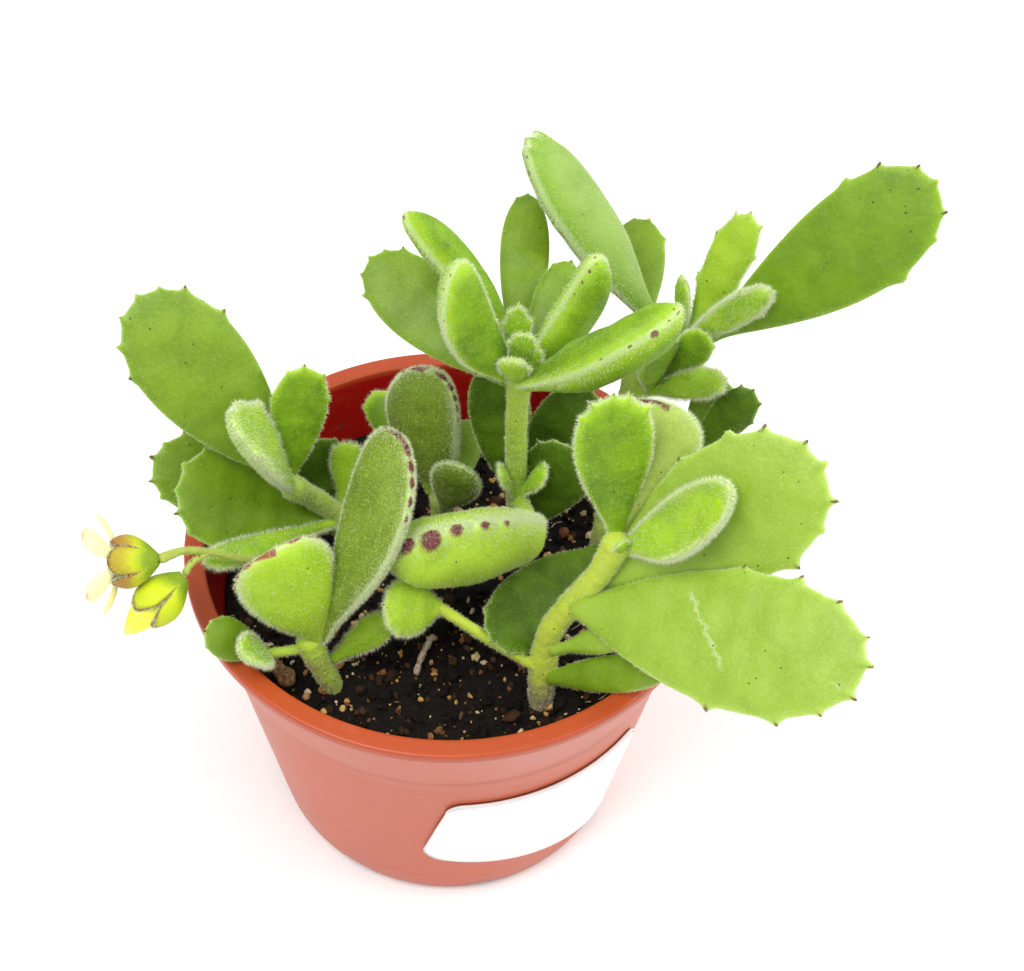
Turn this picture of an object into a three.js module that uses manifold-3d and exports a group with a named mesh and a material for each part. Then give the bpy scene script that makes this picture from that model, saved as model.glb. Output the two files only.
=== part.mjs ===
// A bear's paw succulent, Cotyledon tomentosa, growing in a four-inch nursery pot. Millimetres, +Z up,
// origin at the middle of the pot's underside, -Y towards the side with the label.
import * as THREE from "three";
import { mergeVertices } from "three/addons/utils/BufferGeometryUtils.js";
import Module from "manifold-3d";

const wasm = await Module();
wasm.setup();

// Driving dimensions.
const GAP = 0.3; // clearance between neighbours that touch on the real plant
const POT = {
  height: 73,
  baseRadius: 36.2,
  taper: 0.179, // growth of the body's radius for each millimetre of height
  rimRadius: 52,
  mouthRadius: 48,
  lipEdge: 2.2, // height of the lip's outer edge
  bandBottom: 56, // where the strongly tapered band under the lip begins
  bandStep: 0.3, // how far the band's lower edge stands out
  wall: 1.3,
  footRadius: 2.6,
  notches: 8,
  notchWidth: 7,
  notchHeight: 2.2,
  sides: 44,
};
const SOIL = { level: 58.5, mound: 1.4, grit: 16, rings: 4, sides: 32 };
const LABEL = {
  thickness: 0.6,
  from: -94, // degrees round the pot, -90 facing -Y
  to: -31,
  lean: 6, // degrees that the top of the left edge leads its foot
  top: 46,
  bottomLeft: 20,
  bottomRight: 8,
  corner: 3,
};
const SINK = 8; // how far a stem stands in the soil

// Colours, from the living plant.
const GREEN = material(0x7fae2e, 0.62);
const PALE_GREEN = material(0x9cc04a, 0.66);
const DARK_GREEN = material(0x4f7a26, 0.62);
const OLIVE_GREEN = material(0x86a355, 0.72);
const STEM_GREEN = material(0x9fb23c, 0.66);
const WOODY = material(0x8c7a3c, 0.8);
const TERRACOTTA = material(0xc4583c, 0.48);
const EARTH = material(0x1d1713, 0.95);
const PAPER = material(0xf6f6f4, 0.55);
const SEPAL = material(0xa88a3e, 0.6);
const PETAL = material(0xf4ee9a, 0.5);
const BUD_YELLOW = material(0xe6e84e, 0.5);

function material(color, roughness) {
  return new THREE.MeshStandardMaterial({ color, roughness, metalness: 0 });
}

// Stems: the points of each one's middle line, its radius, and twigs that are one piece with it.
const STEMS = {
  stem_front_left: {
    points: [[-21, -27, 58], [-23, -28, 66], [-25, -28, 74]],
    radius: 2.1,
    twigs: [{ points: [[-25, -28, 72], [-29, -29, 72], [-33, -30, 72]], radius: 1 }],
    leaves: [
      { base: [-21, -26, 66], heading: 18, rise: 38, roll: 45, length: 15, width: 6, thick: 2.4, neck: 1,
        teeth: 3, tooth: 0.5 },
    ],
  },
  stem_left: {
    points: [[-16, 7, 58], [-20, 4, 70], [-25, 1, 80], [-30, -3, 89]],
    radius: 2.1,
    twigs: [],
    leaves: [
      { base: [-22, 4, 76], heading: 70, rise: 68, roll: 20, length: 14, width: 6.5, thick: 2.2, neck: 1,
        teeth: 5, tooth: 0.5, full: 1.6 },
    ],
  },
  stem_centre: {
    points: [[13, 11, 58], [13, 10, 73], [12, 9, 92], [12, 8, 111]],
    radius: 2.1,
    twigs: [{ points: [[13, 9, 75], [14.5, 3, 77.5], [15.5, -4, 80.5]], radius: 1.7 }],
    leaves: [
      { base: [11.5, 8, 78], heading: -150, rise: 70, roll: 150, length: 9, width: 3.6, thick: 2.4, neck: 0.9,
        teeth: 1, tooth: 0.3, full: 0.8 },
      { base: [14, 8, 78], heading: -20, rise: 64, roll: -150, length: 10, width: 4.4, thick: 2.4, neck: 0.9,
        teeth: 1, tooth: 0.3, full: 0.8 },
      { base: [11.5, 6.5, 110.5], heading: -100, rise: 66, roll: 180, length: 10, width: 5.6, thick: 2.6,
        neck: 1.2, teeth: 5, tooth: 0.5, full: 0.8 },
      { base: [11.5, 8.5, 111], heading: 100, rise: 80, roll: 0, length: 13, width: 5.6, thick: 2.6,
        neck: 1.2, teeth: 5, tooth: 0.5, full: 0.9 },
    ],
  },
  stem_back_right: {
    points: [[30, 9, 58], [31, 12, 72], [34, 25, 88], [36, 33, 102]],
    radius: 2.1,
    twigs: [{ points: [[34, 24, 87], [40, 27, 95], [45, 29, 102]], radius: 1.8 }],
    leaves: [
      { base: [44, 30.5, 101], heading: 110, rise: 74, roll: 94, length: 13, width: 5, thick: 2.4, neck: 1.1,
        teeth: 3, tooth: 0.5, full: 0.9 },
    ],
  },
  stem_back_low: {
    points: [[36, 15, 58], [40, 17, 70], [46, 17, 82]],
    radius: 1.6,
    twigs: [],
    leaves: [],
  },
  stem_middle_back: {
    points: [[-3, 10, 58], [-3, 13, 63], [-3, 14, 68]],
    radius: 1.7,
    twigs: [],
    leaves: [],
  },
  stem_front_right: {
    points: [[19, -29, 58], [19, -26, 66], [20, -24, 75], [24, -23, 83], [28, -23, 91], [31, -22, 99]],
    radius: 2.4,
    twigs: [{ points: [[19, -27, 67], [11, -25, 71], [-1, -21, 77]], radius: 1.1 }],
    leaves: [
      { base: [31, -23, 98], heading: -60, rise: 70, roll: 0, length: 5, width: 2.6, thick: 1.8, neck: 0.9,
        teeth: 1, tooth: 0.2, full: 0.8 },
    ],
  },
};

// Leaves. base: where the petiole meets its stem; heading, rise and roll: degrees round +Z from +X, above
// the level, and about the leaf's own line; full: below 1 the blade is broad near its base, above 1 it is
// broad near the tip; bow: arch of the midrib; cup: how far the edges stand up; sweep: sideways bend.
const LEAVES = {
  leaf_tall_front: { stem: "stem_front_left", base: [-23.5, -27, 74], heading: 59, rise: 53, roll: -20,
    length: 42.5, width: 15, thick: 9, neck: 2, teeth: 9, tooth: 1, full: 1.15, bow: 0.05, sweep: 0.12 },
  leaf_cupped_front: { stem: "stem_front_left", base: [-23.5, -27, 74], heading: -165, rise: 76, roll: 103,
    length: 28, width: 18, thick: 6, neck: 1.8, teeth: 9, tooth: 1, full: 0.95, cup: 0.2 },
  leaf_left_tiny: { stem: "stem_front_left", base: [-33, -29.5, 72.5], heading: -162, rise: 41, roll: -38,
    length: 14, width: 8, thick: 3, neck: 1, teeth: 3, tooth: 0.5, full: 0.9, small: true },
  leaf_left_curled: { stem: "stem_front_left", base: [-32.5, -30.5, 72.5], heading: -116, rise: 52, roll: -34,
    length: 12, width: 7, thick: 3, neck: 1, teeth: 3, tooth: 0.5, full: 0.7, cup: 0.35, small: true },
  leaf_left_broad: { stem: "stem_left", base: [-30.5, -1.5, 89.5], heading: 156, rise: 48, roll: -36,
    length: 45, width: 20.5, thick: 3.4, neck: 1.9, teeth: 9, tooth: 1.3, full: 0.95, bow: 0.03 },
  leaf_left_upright: { stem: "stem_left", base: [-31, -1.5, 89], heading: 61, rise: 72, roll: 40,
    length: 25, width: 10.5, thick: 3, neck: 1.3, teeth: 5, tooth: 0.8, full: 1, small: true },
  leaf_left_young: { stem: "stem_left", base: [-30, -4, 90.5], heading: -159, rise: 66, roll: -14,
    length: 24, width: 12, thick: 4.5, neck: 1.3, teeth: 5, tooth: 0.7, full: 0.75, cup: 0.35, small: true },
  leaf_left_low: { stem: "stem_left", base: [-22.5, 2, 72], heading: -159, rise: 36, roll: -40,
    length: 37, width: 19, thick: 3.2, neck: 1.8, teeth: 9, tooth: 1.2, full: 1.35, bow: 0.03 },
  leaf_left_behind: { stem: "stem_left", base: [-22.5, 3.5, 71.5], heading: -177, rise: 28, roll: -43,
    length: 39, width: 15, thick: 3.2, neck: 1.6, teeth: 7, tooth: 1.1, full: 1.4 },
  leaf_left_inner: { stem: "stem_left", base: [-22.5, 4.5, 72], heading: 130, rise: 67, roll: -24,
    length: 18, width: 11, thick: 2.6, neck: 1.3, teeth: 5, tooth: 0.8, full: 1, small: true },
  leaf_under_flower: { stem: "stem_left", base: [-22.5, 1, 75], heading: -135, rise: 21, roll: -13,
    length: 33, width: 5.5, thick: 2.6, neck: 1.1, teeth: 3, tooth: 0.4, full: 1.5, small: true },
  leaf_middle_back: { stem: "stem_middle_back", base: [-1.5, 14, 68], heading: 117, rise: 71, roll: -60,
    length: 30, width: 17, thick: 9, neck: 1.7, teeth: 9, tooth: 0.9, full: 0.85, sweep: -0.12 },
  leaf_middle_slim: { stem: "stem_middle_back", base: [-2.5, 14.5, 64], heading: 74, rise: 25, roll: 3,
    length: 20.5, width: 8, thick: 3, neck: 1.1, teeth: 3, tooth: 0.5, full: 1.1, small: true },
  leaf_middle_low: { stem: "stem_middle_back", base: [-2, 12.5, 67.5], heading: -37, rise: 73, roll: -70,
    length: 16, width: 10, thick: 4, neck: 1.2, teeth: 3, tooth: 0.5, full: 1, small: true },
  leaf_middle_left: { stem: "stem_middle_back", base: [-3.5, 15.5, 66], heading: 133, rise: 36, roll: -38,
    length: 25.5, width: 7.5, thick: 2.4, neck: 1, teeth: 5, tooth: 0.6, full: 2.4, small: true },
  leaf_claw_centre: { stem: "stem_centre", base: [15.5, -5, 81], heading: -150, rise: 19, roll: 68,
    length: 32, width: 19, thick: 13, neck: 4.6, teeth: 9, tooth: 1, full: 0.35 },
  leaf_low_back_left: { stem: "stem_centre", base: [12, 11.5, 74], heading: 126, rise: 72, roll: -28,
    length: 30, width: 12, thick: 3, neck: 1.5, teeth: 3, tooth: 0.6, full: 0.85 },
  leaf_low_back_right: { stem: "stem_centre", base: [14, 11, 76], heading: 28, rise: 59, roll: 42,
    length: 26, width: 13, thick: 3, neck: 1.5, teeth: 5, tooth: 0.8, full: 0.85 },
  leaf_top_left: { stem: "stem_centre", base: [10.5, 8, 111], heading: 177, rise: 69, roll: -44,
    length: 28, width: 10, thick: 9, neck: 1.4, teeth: 3, tooth: 0.4, full: 0.6, sweep: -0.12, small: true },
  leaf_top_right: { stem: "stem_centre", base: [12.5, 9.5, 111], heading: 26, rise: 58, roll: -76,
    length: 27, width: 9, thick: 8, neck: 1.4, teeth: 3, tooth: 0.5, full: 0.7, sweep: -0.12, small: true },
  leaf_top_left_back: { stem: "stem_centre", base: [11.5, 9.5, 109], heading: 149, rise: 47, roll: -156,
    length: 37, width: 9, thick: 7, neck: 1.4, teeth: 3, tooth: 0.6, full: 0.9, sweep: -0.12 },
  leaf_top_back: { stem: "stem_centre", base: [12, 10.5, 106], heading: 90, rise: 23, roll: 1,
    length: 39.5, width: 9.5, thick: 3.4, neck: 1.4, teeth: 3, tooth: 0.8, full: 1.1 },
  leaf_flat_left: { stem: "stem_centre", base: [11.5, 9.5, 106.5], heading: 147, rise: 21, roll: -26,
    length: 36.5, width: 15, thick: 3.4, neck: 1.6, teeth: 5, tooth: 1, full: 0.95 },
  leaf_long_right: { stem: "stem_centre", base: [12.5, 6.5, 110.5], heading: -3, rise: 38, roll: -20,
    length: 35, width: 10, thick: 9.5, neck: 1.7, teeth: 5, tooth: 0.5, full: 0.65, sweep: 0.12 },
  leaf_top_inner: { stem: "stem_centre", base: [12.5, 10, 107.5], heading: 67, rise: 31, roll: 16,
    length: 24.5, width: 8, thick: 3, neck: 1.1, teeth: 3, tooth: 0.5, full: 1.2, small: true },
  leaf_crown: { stem: "stem_back_right", base: [37, 34.5, 102], heading: 159, rise: 52, roll: -172,
    length: 44, width: 14, thick: 9, neck: 1.9, teeth: 9, tooth: 1, full: 0.85 },
  leaf_crown_behind: { stem: "stem_back_right", base: [37, 34, 101.5], heading: 98, rise: 15, roll: -21,
    length: 24, width: 11, thick: 3, neck: 1.3, teeth: 5, tooth: 0.8, full: 1, small: true },
  leaf_far_right: { stem: "stem_back_right", base: [46, 28, 102], heading: -2, rise: 48, roll: 55,
    length: 58, width: 20, thick: 3.4, neck: 1.9, teeth: 9, tooth: 1.4, full: 1.25, bow: 0.03, sweep: 0.02 },
  leaf_right_upright: { stem: "stem_back_right", base: [45, 30.5, 101.5], heading: 42, rise: 61, roll: 21,
    length: 27, width: 9.5, thick: 3, neck: 1.3, teeth: 7, tooth: 0.8, full: 1.05, small: true },
  leaf_right_woolly: { stem: "stem_back_right", base: [45, 28, 103], heading: -32, rise: 54, roll: 97,
    length: 26, width: 6.5, thick: 5, neck: 1.2, teeth: 3, tooth: 0.3, full: 0.8, small: true },
  leaf_right_fold: { stem: "stem_back_right", base: [38, 24.5, 92.5], heading: -75, rise: 77, roll: -157,
    length: 18, width: 9, thick: 3.4, neck: 1.2, teeth: 3, tooth: 0.5, full: 0.8, small: true },
  leaf_right_pale: { stem: "stem_back_right", base: [41, 26, 95], heading: -28, rise: 62, roll: 82,
    length: 16, width: 7, thick: 3, neck: 1.1, teeth: 3, tooth: 0.5, full: 1, small: true },
  leaf_right_bud: { stem: "stem_back_right", base: [37.5, 24.5, 91.5], heading: -23, rise: 33, roll: 65,
    length: 18, width: 6, thick: 4, neck: 1.1, teeth: 3, tooth: 0.3, full: 1, small: true },
  leaf_right_low: { stem: "stem_back_low", base: [46.5, 18, 82], heading: 44, rise: 58, roll: 27,
    length: 16, width: 9, thick: 3, neck: 1.1, teeth: 5, tooth: 0.7, full: 1, small: true },
  leaf_right_brown: { stem: "stem_back_low", base: [47, 16.5, 82.5], heading: 5, rise: 59, roll: 53,
    length: 20, width: 8, thick: 3, neck: 1.1, teeth: 5, tooth: 0.7, full: 1, small: true },
  leaf_front_upright: { stem: "stem_front_right", base: [31, -20, 98], heading: 117, rise: 78, roll: -11,
    length: 31, width: 15.5, thick: 5, neck: 1.7, teeth: 5, tooth: 1, full: 1.15 },
  leaf_front_cupped: { stem: "stem_front_right", base: [33, -22, 99], heading: -18, rise: 53, roll: -12,
    length: 27, width: 10.5, thick: 8, neck: 1.4, teeth: 5, tooth: 0.4, full: 0.75, cup: 0.4, sweep: 0.12,
    small: true },
  leaf_round_back: { stem: "stem_front_right", base: [30, -21, 94], heading: 60, rise: 53, roll: -163,
    length: 30.5, width: 15.5, thick: 7, neck: 1.5, teeth: 5, tooth: 0.5, full: 1.9 },
  leaf_wide_right: { stem: "stem_front_right", base: [27.5, -21.5, 86.5], heading: -3, rise: 45, roll: 49,
    length: 52, width: 25, thick: 3.6, neck: 2, teeth: 11, tooth: 1.5, full: 1, bow: 0.03 },
  leaf_large_front: { stem: "stem_front_right", base: [24, -25, 84], heading: -29, rise: 21, roll: 41,
    length: 59, width: 24.5, thick: 3.8, neck: 2, teeth: 9, tooth: 1.5, full: 0.9, bow: 0.03 },
  leaf_small_bright: { stem: "stem_front_right", base: [-1, -21, 77], heading: -150, rise: 31, roll: -46,
    length: 13, width: 11, thick: 4, neck: 1.2, teeth: 5, tooth: 0.7, full: 0.8, small: true },
  leaf_stalk_right: { stem: "stem_front_right", base: [20.5, -26.5, 72.5], heading: -19, rise: 41, roll: 50,
    length: 18, width: 5.5, thick: 3, neck: 1.2, teeth: 3, tooth: 0.5, full: 1.4, small: true },
  leaf_low_right: { stem: "stem_front_right", base: [20, -28, 66], heading: -25, rise: 36, roll: 47,
    length: 29, width: 7, thick: 3, neck: 1.3, teeth: 3, tooth: 0.5, full: 0.7, small: true },
  leaf_low_front: { stem: "stem_back_right", base: [30, 8, 62], heading: -121, rise: 17, roll: -28,
    length: 42, width: 15, thick: 3, neck: 1.5, teeth: 5, tooth: 0.8, full: 0.9 },
  leaf_dark_back: { stem: "stem_centre", base: [14, 9.5, 62.5], heading: -13, rise: 73, roll: 82,
    length: 31, width: 14, thick: 3, neck: 1.5, teeth: 5, tooth: 0.8, full: 1.5 },
};

// The flower stalk, and where its open flower and its bud sit.
const STALK = {
  points: [[-22, 2, 74], [-30, -9, 79], [-36, -18, 85], [-42, -21, 90], [-47, -24, 94], [-51, -28, 96]],
  radius: 0.75,
  branch: [[-43, -21.5, 91], [-46, -25, 91.5], [-47, -27, 90.5]],
  branchRadius: 0.65,
};
const FLOWER = { at: [-51, -28, 96], heading: -168, rise: 6, calyx: 6.2, lobes: 5, petals: 5, petal: 9.5 };
const BUD = { at: [-47, -27, 90.5], heading: -136, rise: -22, length: 14, width: 9 };

// ---- solids ----

// A geometry as a manifold solid, its vertices merged and its faces turned outwards.
function solidOf(geometry) {
  const bare = geometry.index ? geometry.toNonIndexed() : geometry.clone();
  bare.deleteAttribute("normal");
  bare.deleteAttribute("uv");
  const merged = mergeVertices(bare, 1e-4);
  const place = merged.getAttribute("position").array;
  const faces = [];
  const index = merged.index.array;
  for (let i = 0; i < index.length; i += 3) {
    const [a, b, c] = [index[i], index[i + 1], index[i + 2]];
    if (a !== b && b !== c && c !== a) faces.push(a, b, c);
  }
  const make = (tris) =>
    new wasm.Manifold(
      new wasm.Mesh({ numProp: 3, vertProperties: new Float32Array(place), triVerts: new Uint32Array(tris) }),
    );
  const made = make(faces);
  return made.volume() > 0 ? made : make(faces.reverse());
}

// A manifold solid as a geometry. Of a solid that a cut has parted, the largest body stays.
function geometryOf(solid) {
  const bodies = solid.simplify(0.04).decompose().sort((a, b) => b.volume() - a.volume());
  const mesh = bodies[0].getMesh();
  const place = new Float32Array(mesh.numVert * 3);
  for (let i = 0; i < mesh.numVert; i++) {
    place.set(mesh.vertProperties.subarray(i * mesh.numProp, i * mesh.numProp + 3), i * 3);
  }
  const geometry = new THREE.BufferGeometry();
  geometry.setAttribute("position", new THREE.BufferAttribute(place, 3));
  geometry.setIndex(new THREE.BufferAttribute(new Uint32Array(mesh.triVerts), 1));
  geometry.computeVertexNormals();
  return geometry;
}

// A closed surface from a grid of points, rows[i][k]: quads between neighbouring rows.
function skinOf(rows) {
  const place = rows.flat(2);
  const width = rows[0].length;
  const index = [];
  for (let i = 0; i + 1 < rows.length; i++) {
    for (let k = 0; k + 1 < width; k++) {
      const a = i * width + k;
      const b = a + width;
      index.push(a, b, b + 1, a, b + 1, a + 1);
    }
  }
  const geometry = new THREE.BufferGeometry();
  geometry.setAttribute("position", new THREE.Float32BufferAttribute(place, 3));
  geometry.setIndex(index);
  return geometry;
}

// A round tube along a smooth line through the points.
function tube(points, radius, sides = 8, stepLength = 5) {
  const line = new THREE.CatmullRomCurve3(points.map((p) => new THREE.Vector3(...p)));
  const section = new THREE.Shape();
  section.absarc(0, 0, radius, 0, 2 * Math.PI, false);
  const steps = Math.max(3, Math.round(line.getLength() / stepLength));
  const made = new THREE.ExtrudeGeometry(section, {
    steps,
    curveSegments: sides / 2, // a full turn takes two sides for each
    bevelEnabled: false,
    extrudePath: line,
  });
  return solidOf(made);
}

// A low-sided ball, such as the knob of a node or a piece of grit.
function ball(center, radius, squash = 1, turn = 0, detail = 0) {
  const made = new THREE.IcosahedronGeometry(radius, detail);
  made.scale(1, squash, squash * 0.9);
  made.rotateZ(turn);
  made.rotateX(turn * 2);
  made.translate(...center);
  return solidOf(made);
}

// ---- leaves ----

// Half width of a blade, as a share of its largest, at the share t of its length: t^full * sqrt(1 - t).
function bladeShare(t, full) {
  const peak = full / (full + 0.5);
  return (t ** full * Math.sqrt(1 - t)) / (peak ** full * Math.sqrt(1 - peak));
}

// A leaf lying along +Y with its upper face to +Z. The outline runs from the base up one side, over the
// tip and down the other; every second column near the tip stands out as a claw. Each column is half an
// oval section, from the upper midrib round the margin to the lower midrib.
function leafGeometry(spec, extra = 0) {
  const { length, width, thick, neck, teeth, tooth, full = 1, bow = 0, cup = 0, sweep = 0 } = spec;
  const [columns, rings] = spec.grid ?? (spec.small ? [8, 4] : [12, 6]);
  const belly = 0.6; // share of the thickness that lies below the margin
  const ribEnd = 0.74;
  const rows = [];
  for (let i = -columns; i <= columns; i++) {
    const side = i < 0 ? -1 : 1;
    const tau = 1 - Math.abs(i) / columns;
    const t = 1 - (1 - tau) ** 2;
    const neckHere = (neck + extra) * Math.sqrt(1 - (1 - Math.min(t / 0.06, 1)) ** 2) * Math.sqrt(1 - t);
    const bladeHere = (width / 2 + extra) * bladeShare(t, full);
    const x = (bladeHere ** 4 + neckHere ** 4) ** 0.25;
    const y = length * t;
    const rib = length * ribEnd * (1 - (1 - t) ** 1.5);
    const claw = Math.abs(i) % 2 === 0 && Math.abs(i) <= teeth - 1 ? tooth : 0;
    const reach = Math.hypot(x, y - rib) + 1e-9;
    const swell = Math.min(t / 0.45, 1);
    const grown = swell * swell * (3 - 2 * swell);
    const stout = 2 * neck + (thick - 2 * neck) * grown + 2 * extra;
    const round = Math.sqrt(1 - (1 - Math.min(t / 0.08, 1)) ** 2);
    const row = [];
    for (let k = 0; k <= rings; k++) {
      const angle = (Math.PI * k) / rings;
      const out = k % rings === 0 ? 0 : Math.sin(angle) ** 0.85;
      const lift = Math.sign(Math.cos(angle)) * Math.abs(Math.cos(angle)) ** 0.8 * (2 * k === rings ? 0 : 1);
      const far = out ** 6 * (claw / reach);
      const px = x * (out + far);
      const py = rib + (y - rib) * (out + far);
      const share = Math.min(Math.max(py / length, 0), 1);
      const arch = 4 * share * (1 - share);
      const high = lift * (lift > 0 ? 1 - belly : belly) * stout * round;
      row.push([
        side * px + sweep * length * arch,
        py - extra * (1 - t),
        high + bow * length * arch + (cup * px * px) / (width / 2),
      ]);
    }
    rows.push(row);
  }
  return skinOf(rows);
}

// The turn that lays a leaf's own axes along its heading, rise and roll.
function leafFrame({ base, heading, rise, roll }) {
  const [h, e, r] = [heading, rise, roll].map(THREE.MathUtils.degToRad);
  const along = new THREE.Vector3(Math.cos(e) * Math.cos(h), Math.cos(e) * Math.sin(h), Math.sin(e));
  const up = new THREE.Vector3(-Math.sin(e) * Math.cos(h), -Math.sin(e) * Math.sin(h), Math.cos(e));
  up.applyAxisAngle(along, r);
  const across = new THREE.Vector3().crossVectors(along, up);
  return new THREE.Matrix4().makeBasis(across, along, up).setPosition(...base);
}

function placedLeaf(spec, extra = 0) {
  return solidOf(leafGeometry(spec, extra).applyMatrix4(leafFrame(spec)));
}

// ---- stems ----

// A stem with its knobs, twigs and youngest leaves, as one body. With extra it is the fatter copy that
// every leaf gives way to.
function stemSolid({ points, radius, twigs, leaves }, extra = 0) {
  const [foot, ...rest] = points;
  const sunk = [foot[0], foot[1], foot[2] - SINK];
  const top = points[points.length - 1];
  let made = tube([sunk, foot, ...rest], radius + extra);
  made = made.add(ball(top, radius * 1.3 + extra, 1, 0.4));
  for (const twig of twigs) {
    made = made.add(tube(twig.points, twig.radius + extra, 6));
    made = made.add(ball(twig.points[0], radius * 1.3 + extra, 1, 0.3));
  }
  for (const leaf of leaves) made = made.add(placedLeaf({ ...leaf, grid: [6, 4] }, extra));
  return made;
}

// The plain hole in the soil that a stem stands in.
function stemHole({ points: [foot, next], radius }) {
  const [x, y, z] = foot;
  return tube([[x, y, z - SINK - GAP], foot, next], radius + GAP);
}

// ---- pot, soil and label ----

// Outer radius of the body below the band, at height z.
function bodyRadius(z) {
  return POT.baseRadius + POT.taper * z;
}

// Radius of the inner wall at height z: parallel to the body, then widening to the mouth.
function innerRadius(z) {
  const shoulder = bodyRadius(POT.bandBottom) - POT.wall;
  if (z < POT.bandBottom) return bodyRadius(z) - POT.wall;
  return shoulder + ((POT.mouthRadius - shoulder) * (z - POT.bandBottom)) / (POT.height - POT.bandBottom);
}

function potSolid() {
  const { height, rimRadius, mouthRadius, bandBottom, wall, footRadius } = POT;
  const foot = [0, 40, 80].map((a) => {
    const angle = THREE.MathUtils.degToRad(a);
    const out = bodyRadius(0) - footRadius * (1 - Math.sin(angle));
    return new THREE.Vector2(out, footRadius * (1 - Math.cos(angle)));
  });
  const outline = [
    new THREE.Vector2(0, 0),
    ...foot,
    new THREE.Vector2(bodyRadius(bandBottom), bandBottom - 0.3),
    new THREE.Vector2(bodyRadius(bandBottom) + POT.bandStep, bandBottom),
    new THREE.Vector2(rimRadius - 0.2, height - POT.lipEdge),
    new THREE.Vector2(rimRadius, height - 0.5),
    new THREE.Vector2(rimRadius - 0.5, height),
    new THREE.Vector2(mouthRadius, height),
    new THREE.Vector2(innerRadius(bandBottom), bandBottom),
    new THREE.Vector2(innerRadius(wall + 2), wall + 2),
    new THREE.Vector2(innerRadius(wall + 2) - 2, wall),
    new THREE.Vector2(0, wall),
  ];
  let made = solidOf(new THREE.LatheGeometry(outline, POT.sides).rotateX(Math.PI / 2));
  for (let i = 0; i < POT.notches; i++) {
    const notch = new THREE.BoxGeometry(9, POT.notchWidth, 2 * POT.notchHeight);
    notch.translate(bodyRadius(0) - 1, 0, 0);
    notch.rotateZ((2 * Math.PI * (i + 0.35)) / POT.notches);
    made = made.subtract(solidOf(notch));
  }
  return made;
}

// Height of the soil at x, y: a low mound with ripples.
function soilHeight(x, y) {
  const share = Math.hypot(x, y) / innerRadius(SOIL.level);
  const ripple = 0.35 * Math.sin(0.31 * x + 1) * Math.cos(0.27 * y) + 0.2 * Math.sin(0.62 * y + 0.4 * x);
  return SOIL.level + SOIL.mound * (1 - share * share) + ripple * (1 - share ** 6);
}

// A small repeatable source of even draws between 0 and 1.
function draws(seed) {
  let state = seed;
  return () => {
    state = (state * 1664525 + 1013904223) % 4294967296;
    return state / 4294967296;
  };
}

function soilSolid() {
  const floor = POT.wall + 1.2;
  const edge = innerRadius(SOIL.level) - GAP - 0.2;
  const outline = [
    new THREE.Vector2(0, floor),
    new THREE.Vector2(innerRadius(floor) - 3, floor),
    new THREE.Vector2(innerRadius(floor + 4) - 0.6, floor + 4),
    new THREE.Vector2(innerRadius(POT.bandBottom) - 0.5, POT.bandBottom),
  ];
  for (let ring = 0; ring <= SOIL.rings; ring++) {
    outline.push(new THREE.Vector2(edge * (1 - ring / SOIL.rings), SOIL.level));
  }
  const bed = new THREE.LatheGeometry(outline, SOIL.sides).rotateX(Math.PI / 2);
  const place = bed.getAttribute("position");
  for (let i = 0; i < place.count; i++) {
    if (place.getZ(i) > SOIL.level - 1) place.setZ(i, soilHeight(place.getX(i), place.getY(i)));
  }
  let made = solidOf(bed);
  const next = draws(7);
  for (let i = 0; i < SOIL.grit; i++) {
    const reach = (edge - 3) * Math.sqrt(next());
    const angle = 2 * Math.PI * next();
    const [x, y] = [reach * Math.cos(angle), reach * Math.sin(angle)];
    const size = 0.7 + 1.1 * next();
    made = made.add(ball([x, y, soilHeight(x, y) + 0.4 * size], size, 0.75, 6 * next()));
  }
  const chip = new THREE.BoxGeometry(8, 3.4, 2).rotateZ(-0.9).rotateY(0.12);
  chip.translate(-31.5, -24.5, soilHeight(-31.5, -24.5) + 0.3);
  made = made.add(solidOf(chip));
  for (const stem of Object.values(STEMS)) made = made.subtract(stemHole(stem));
  return made;
}

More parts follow.
